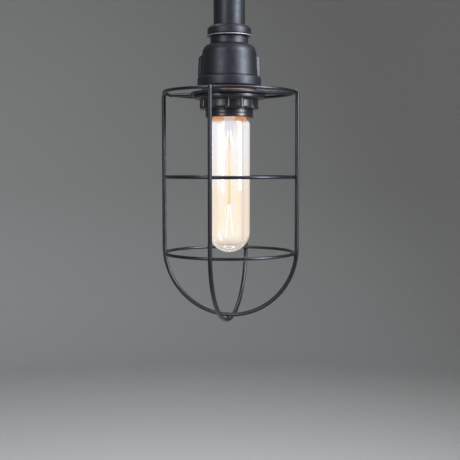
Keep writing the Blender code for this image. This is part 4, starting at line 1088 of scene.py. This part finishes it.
def hooks(name, level, first, from_height):
    """Fine support wires, from the rod out to the bends of the filament."""
    shape = bmesh.new()
    for i in range(first, STRANDS, 2):
        azimuth = 2 * math.pi * i / STRANDS
        halfway = (level + from_height) / 2
        bends = ((0.8 * MM, from_height), (4 * MM, halfway), (FILAMENT_RADIUS, level))
        route = [about_lamp(azimuth, radius, height) for radius, height in bends]
        single = wire("hook", route, 0.22 * MM, roundness=1)
        shape.from_mesh(single.data)
        bpy.data.objects.remove(single)
    return dress(finished(shape, name), zinc, body="bulb", slot="bright_steel")


filament()
hooks("filament_hooks_upper", FILAMENT_TOP, 0, FILAMENT_TOP + 3 * MM)
hooks("filament_hooks_lower", FILAMENT_BOTTOM, 1, bottom_of("bulb_stem") + 2 * MM)
for end in ("first", "last"):
    low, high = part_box(f"lead_in_{end}")
    side = 1 if high.x > 0 else -1
    near, far = (low.x, high.x) if side > 0 else (high.x, low.x)
    start = Vector((near, high.y - 0.4 * MM, high.z))
    bend = Vector((near, high.y - 0.8 * MM, high.z - 5 * MM))
    route = [start, bend, Vector((far, low.y + 0.4 * MM, low.z))]
    dress(wire(f"lead_in_{end}_wire", route, 0.7 * MM, roundness=3), zinc, f"lead_in_{end}")


HALO_RADII = [radius * MM for radius in (6.4, 8.6, 10.2)]


def halo_sleeve():
    """Closed drums of faint light, one inside the next, so the glow builds up towards the axis."""
    shape = bmesh.new()
    for radius in HALO_RADII:
        corners = [(0, HALO_TOP), (radius, HALO_TOP), (radius, HALO_BOTTOM), (0, HALO_BOTTOM)]
        layer = spun("layer", corners, LAMP, 64)
        shape.from_mesh(layer.data)
        bpy.data.objects.remove(layer)
    made = finished(shape, "filament_halo_sleeves")
    made.visible_shadow = False
    return dress(made, halo, body="bulb", slot="filament_glow")


halo_sleeve()
print("filament", round((FILAMENT_TOP - FILAMENT_BOTTOM) / MM, 1), "mm high, in", STRANDS, "strands")

# %% [markdown]
# ## The wall end
# The canopy is spun from thin sheet: a flat face, a rolled edge, and a short hub that the arm passes
# through. Two domed screws hold it to the crossbar behind. From the front it is one calm disc, so its
# quality is all in the edge radii. From behind it is open, and the nut, crossbar, connectors and leads
# are on show.

# %% Canopy
CANOPY_START, CANOPY_END = reach_of("wall_canopy")
CANOPY_RADIUS = radius_of("wall_canopy")
HUB_LENGTH = 12 * MM
SHEET = 1.5 * MM


def cut_holes(thing, cutters):
    """Cuts the cutters out of a piece, bakes the result and throws the cutters away."""
    for cutter in cutters:
        boolean = thing.modifiers.new("Hole", "BOOLEAN")
        boolean.object = cutter
        boolean.solver = "EXACT"
    bpy.context.view_layer.update()
    graph = bpy.context.evaluated_depsgraph_get()
    baked = bpy.data.meshes.new_from_object(thing.evaluated_get(graph))
    thing.modifiers.clear()
    thing.data = baked
    for cutter in cutters:
        bpy.data.objects.remove(cutter)
    baked.shade_smooth()
    baked.set_sharp_from_angle(angle=SMOOTH_UNDER)
    return thing


def peg(radius, start, end, place, steps=32):
    return spun("peg", [(0, end), (radius, end), (radius, start), (0, start)], place, steps)


def canopy():
    face, hub = CANOPY_END - HUB_LENGTH, 18.5 * MM
    corners = [(hub, CANOPY_END, 1.2 * MM), (hub, face, 2.0 * MM), (CANOPY_RADIUS, face, 6 * MM)]
    corners += [(CANOPY_RADIUS, CANOPY_START, 0.4 * MM), (CANOPY_RADIUS - SHEET, CANOPY_START, 0.4 * MM)]
    corners += [(CANOPY_RADIUS - SHEET, face - SHEET, 4.5 * MM), (PIPE_HOLE, face - SHEET, 0.5 * MM)]
    corners.append((PIPE_HOLE, CANOPY_END, 0.6 * MM))
    made = spun("canopy_spun", rounded(corners, 10), ARM, 144)
    pegs = []
    for node in ("canopy_screw_left", "canopy_screw_right"):
        place = Matrix.Translation((middle_of(node).x, 0, 0)) @ ARM
        pegs.append(peg(2.3 * MM, face - 4 * MM, face + 2 * MM, place))
    return dress(cut_holes(made, pegs), black_coat, "wall_canopy")


print("canopy:", len(canopy().data.polygons), "faces")

# %% Screws
def slot_cutter(place, along, length, width, depth, turn):
    """A bar that cuts one arm of a screwdriver slot."""
    shape = bmesh.new()
    bmesh.ops.create_cube(shape, size=1)
    sizes = Matrix.Diagonal((length, width, 2 * depth, 1))
    turned_over = place @ Matrix.Translation((0, 0, along)) @ Matrix.Rotation(turn, 4, "Z")
    bmesh.ops.transform(shape, matrix=turned_over @ sizes, verts=shape.verts)
    return finished(shape, "slot_cutter")


def screw(node, finish, head, slots):
    start, end = reach_of(node)
    radius, shank = radius_of(node), 2.0 * MM
    under = end - head
    place = Matrix.Translation((middle_of(node).x, 0, 0)) @ ARM
    angles = [math.pi / 2 * i / 10 for i in range(11)]
    outline = [(radius * math.sin(a), under + head * (0.25 + 0.75 * math.cos(a))) for a in angles]
    outline += [(radius, under), (shank, under), (shank, start + 0.5 * MM)]
    outline += [(shank - 0.4 * MM, start), (0, start)]
    made = spun(node + "_fine", [(max(r, 0), h) for r, h in outline], place, 48)
    cutters = [slot_cutter(place, end, 1.1 * radius, 0.9 * MM, 1.3 * MM, turn) for turn in slots]
    return dress(cut_holes(made, cutters), finish, node)


for node, tilt in (("canopy_screw_left", 0.4), ("canopy_screw_right", 1.1)):
    screw(node, black_coat, 3.4 * MM, (tilt, tilt + math.pi / 2))
screw("ground_screw", green_sleeve, 2.2 * MM, (0.7,))

# %% [markdown]
# The nut is a hexagon bar with its corners turned off, so its outline meets a shallow cone. That is how
# it is made here: a hexagonal prism, cut by intersection with a turned blank.

# %% Arm nut and crossbar
def arm_nut():
    start, end = reach_of("arm_nut")
    flats = (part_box("arm_nut")[1].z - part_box("arm_nut")[0].z) / 2
    corner = flats / math.cos(math.pi / 6)
    shape = bmesh.new()
    rings = []
    for radius, along in ((corner, end), (corner, start), (PIPE_HOLE, start), (PIPE_HOLE, end)):
        ring = []
        for angle in even_angles(96):
            out = radius
            if radius == corner:
                out = flats / math.cos((angle + math.pi / 6) % (math.pi / 3) - math.pi / 6)
            ring.append(shape.verts.new(ARM @ around(out, angle, along)))
        rings.append(ring)
    skin(shape, list(zip(rings, rings[1:])) + [(rings[-1], rings[0])])
    made = finished(shape, "arm_nut_fine")
    corners = [(0, end, 0), (flats, end, 0), (corner + 1 * MM, (start + end) / 2, 0)]
    corners += [(flats, start, 0), (0, start, 0)]
    blank = spun("blank", rounded(corners, closed=False), ARM)
    boolean = made.modifiers.new("Turned corners", "BOOLEAN")
    boolean.operation = "INTERSECT"
    boolean.object = blank
    cut_holes(made, [])
    bpy.data.objects.remove(blank)
    return dress(made, zinc, "arm_nut")


def crossbar():
    low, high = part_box("crossbar")
    thickness, half, width = high.y - low.y, high.x, high.z - low.z
    curve = bpy.data.curves.new("crossbar_fine", "CURVE")
    curve.dimensions = "2D"
    curve.fill_mode = "BOTH"
    edge = 0.2 * MM
    curve.extrude = thickness / 2 - edge
    curve.bevel_depth = edge
    curve.bevel_resolution = 2

    def loop(length, breadth, centre):
        spline = curve.splines.new("POLY")
        radius = breadth / 2
        points = []
        for side, start in ((1, -math.pi / 2), (-1, math.pi / 2)):
            for i in range(17):
                angle = start + math.pi * i / 16
                x = centre + side * (length / 2 - radius) + radius * math.cos(angle)
                points.append((x, radius * math.sin(angle)))
        spline.points.add(len(points) - 1)
        for point, (x, y) in zip(spline.points, points):
            point.co = (x, y, 0, 1)
        spline.use_cyclic_u = True

    loop(2 * half - 2 * edge, width - 2 * edge, 0)
    for side in (-1, 1):
        loop(4.7 * MM + 2 * edge, 4.6 * MM + 2 * edge, side * 52 * MM)
        loop(14 * MM + 2 * edge, 5 * MM + 2 * edge, side * 39.5 * MM)
    loop(4.7 * MM + 2 * edge, 4.6 * MM + 2 * edge, 18 * MM)
    guide = put("guide", curve)
    guide.matrix_world = Matrix.Translation((0, (low.y + high.y) / 2, 0)) @ ARM
    return dress(drawn(guide, "crossbar_fine"), zinc, "crossbar")


arm_nut()
print("crossbar:", len(crossbar().data.polygons), "faces")

# %% [markdown]
# The twist-on connectors are tapered caps with grip fins, and each wire is drawn through its own route.
# The wires are the working model's own tubes with their shading smoothed, as their route matters and must
# not wander from the model's.

# %% Connectors and leads
def connector(node, finish):
    low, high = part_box(node)
    place = Matrix.Translation((middle_of(node).x, middle_of(node).y, 0))
    mouth, top, outer = low.z, high.z, radius_of(node)
    crown, bore, count = 3.3 * MM, 3.0 * MM, 12

    def fins(angle, radius, along):
        if radius < 3.2 * MM or along > top - 1.2 * MM:
            return 0
        groove = 0.5 + 0.5 * math.cos(count * angle)
        return -0.45 * MM * groove * ease(along, mouth + 1 * MM, mouth + 3.5 * MM)

    corners = [(0, top, 0), (crown, top, 0.9 * MM)]
    for along in evenly(top - 1.2 * MM, mouth + 1 * MM, 0.8 * MM):
        corners.append((crown + (outer - crown) * (top - along) / (top - mouth), along, 0))
    corners += [(outer, mouth, 0.4 * MM), (bore, mouth, 0.3 * MM)]
    corners += [(bore, mouth + 10 * MM, 0.5 * MM), (0, mouth + 10 * MM, 0)]
    outline = rounded(corners, closed=False)
    return dress(spun(node + "_fine", outline, place, swell=fins), finish, node)


connector("connector_line", orange_plastic)
connector("connector_neutral", orange_plastic)
connector("connector_ground", green_sleeve)


def smoothed(node, finish):
    """The node's own tube, its flat facets merged and its shading smoothed."""
    twin = put(node + "_fine", frame["nodes"][node].data.copy())
    shape = bmesh.new()
    shape.from_mesh(twin.data)
    bmesh.ops.remove_doubles(shape, verts=shape.verts, dist=0.000002)
    bmesh.ops.dissolve_limit(shape, angle_limit=0.01, verts=shape.verts, edges=shape.edges)
    shape.to_mesh(twin.data)
    shape.free()
    twin.data.shade_smooth()
    twin.data.set_sharp_from_angle(angle=math.radians(60))
    return dress(twin, finish, node)


smoothed("lead_line", black_sleeve)
smoothed("lead_neutral", white_sleeve)
smoothed("lead_ground", green_sleeve)

# %% [markdown]
# ## Studio
# A plain round cove in a pale grey stands in for the room: floor, curved corner and wall are one turned
# surface, so no view has a hard horizon. Two upright softboxes give the pipe its two soft bands of light
# with a dark line between them. The one on the right is stronger and further round. A weak top light and
# the pale cove fill the rest.

# %% Cove
FLOOR = CAD_BOX[0].z - 0.55
COVE_RADIUS = 3.0
COVE_HEIGHT = 3.7
COVE_CORNER = 0.9


def cove():
    corners = [(0, FLOOR, 0), (COVE_RADIUS, FLOOR, COVE_CORNER), (COVE_RADIUS, FLOOR + COVE_HEIGHT, 0)]
    outline = rounded(corners, 16, closed=False)
    shape = bmesh.new()
    rings = []
    for radius, height in outline[1:]:
        rings.append([shape.verts.new(around(radius, angle, height)) for angle in even_angles(96)])
    rings.insert(0, [shape.verts.new((0, 0, FLOOR))])
    skin(shape, list(zip(rings, rings[1:])))
    made = finished(shape, "studio_cove")
    for face in made.data.polygons:
        face.use_smooth = True
    finish, shader = new_finish("pale_studio_paint", (0.42, 0.42, 0.41), 0.9)
    up_the_wall = height_ramp(finish, FLOOR, FLOOR + 0.6)
    tint(finish, up_the_wall, (0.50, 0.50, 0.49), (0.41, 0.41, 0.395), shader.inputs["Base Color"], 0.0, 1.0)
    spread(finish, grain(finish, 0.3), 0.86, 0.94, shader.inputs["Roughness"])
    made.data.materials.append(finish)


cove()

# %% Lights
AIM = Vector((0, LAMP_Y, RING_LEVELS["cage_middle_ring"][1]))
SOFTBOX_SPREAD = math.radians(110)


def softbox(name, azimuth, distance, height, size, power, colour=(1, 1, 1)):
    light = bpy.data.lights.new(name, "AREA")
    light.shape = "RECTANGLE"
    light.size, light.size_y = size
    light.energy = power
    light.color = colour
    light.spread = SOFTBOX_SPREAD
    lamp = put(name, light)
    lamp.location = about_lamp(math.radians(azimuth), distance, height)
    lamp.rotation_euler = (AIM - lamp.location).to_track_quat("-Z", "Y").to_euler()
    lamp.visible_camera = False


softbox("softbox_right", 62, distance=1.3, height=0.32, size=(0.45, 1.3), power=29, colour=(0.90, 0.93, 1.0))
softbox("softbox_left", -36, distance=1.5, height=0.32, size=(0.40, 1.3), power=9.5, colour=(0.95, 0.96, 1.0))
softbox("softbox_top", 180, distance=0.6, height=1.5, size=(1.2, 1.2), power=12)


def bulb_light():
    """The light that the bulb throws on the cage. It hangs from the stem, and goes where the bulb goes."""
    light = bpy.data.lights.new("light_of_the_bulb", "POINT")
    light.energy = 0.7
    light.color = (1.0, 0.62, 0.28)
    light.shadow_soft_size = 6 * MM
    lamp = put("light_of_the_bulb", light)
    lamp.location = about_lamp(0, 0, (FILAMENT_TOP + FILAMENT_BOTTOM) / 2)
    lamp.parent = bpy.data.objects["bulb_stem_pressed"]
    lamp.visible_camera = False
    lamp.visible_transmission = False
    lamp.visible_glossy = False


bulb_light()

world = bpy.data.worlds.new("studio_air")
world.use_nodes = True
world.node_tree.nodes["Background"].inputs["Color"].default_value = (0.93, 0.95, 1.0, 1)
world.node_tree.nodes["Background"].inputs["Strength"].default_value = 0.27
bpy.context.scene.world = world
bpy.context.scene.view_settings.view_transform = "Standard"

# %% [markdown]
# ## Camera
# The eye is level with the upper part of the cage, a little below its top ring, and looks down by about
# four degrees, so the top ring is seen from below and the lower one from above.

# %% Camera
EYE_DISTANCE = 0.67
EYE_BELOW_RING = 0.059
AIM_BELOW_RING = 0.1067
EYE_ASIDE = 0.0006
LENS = 67.0
ring_level = RING_LEVELS["cage_top_ring"][1]
camera = bpy.data.cameras.new("camera")
camera.lens = LENS
camera.sensor_width = 36
eye = put("camera", camera)
eye.location = (EYE_ASIDE, LAMP_Y - EYE_DISTANCE, ring_level - EYE_BELOW_RING)
target = Vector((EYE_ASIDE, LAMP_Y, ring_level - AIM_BELOW_RING))
eye.rotation_euler = (target - eye.location).to_track_quat("-Z", "Y").to_euler()
bpy.context.scene.camera = eye
looks_down = math.atan2(AIM_BELOW_RING - EYE_BELOW_RING, EYE_DISTANCE)
print("eye looks down by", round(math.degrees(looks_down), 1), "degrees")

# %% [markdown]
# Last, the scene is brought up to date.

# %% Last update
bpy.context.view_layer.update()
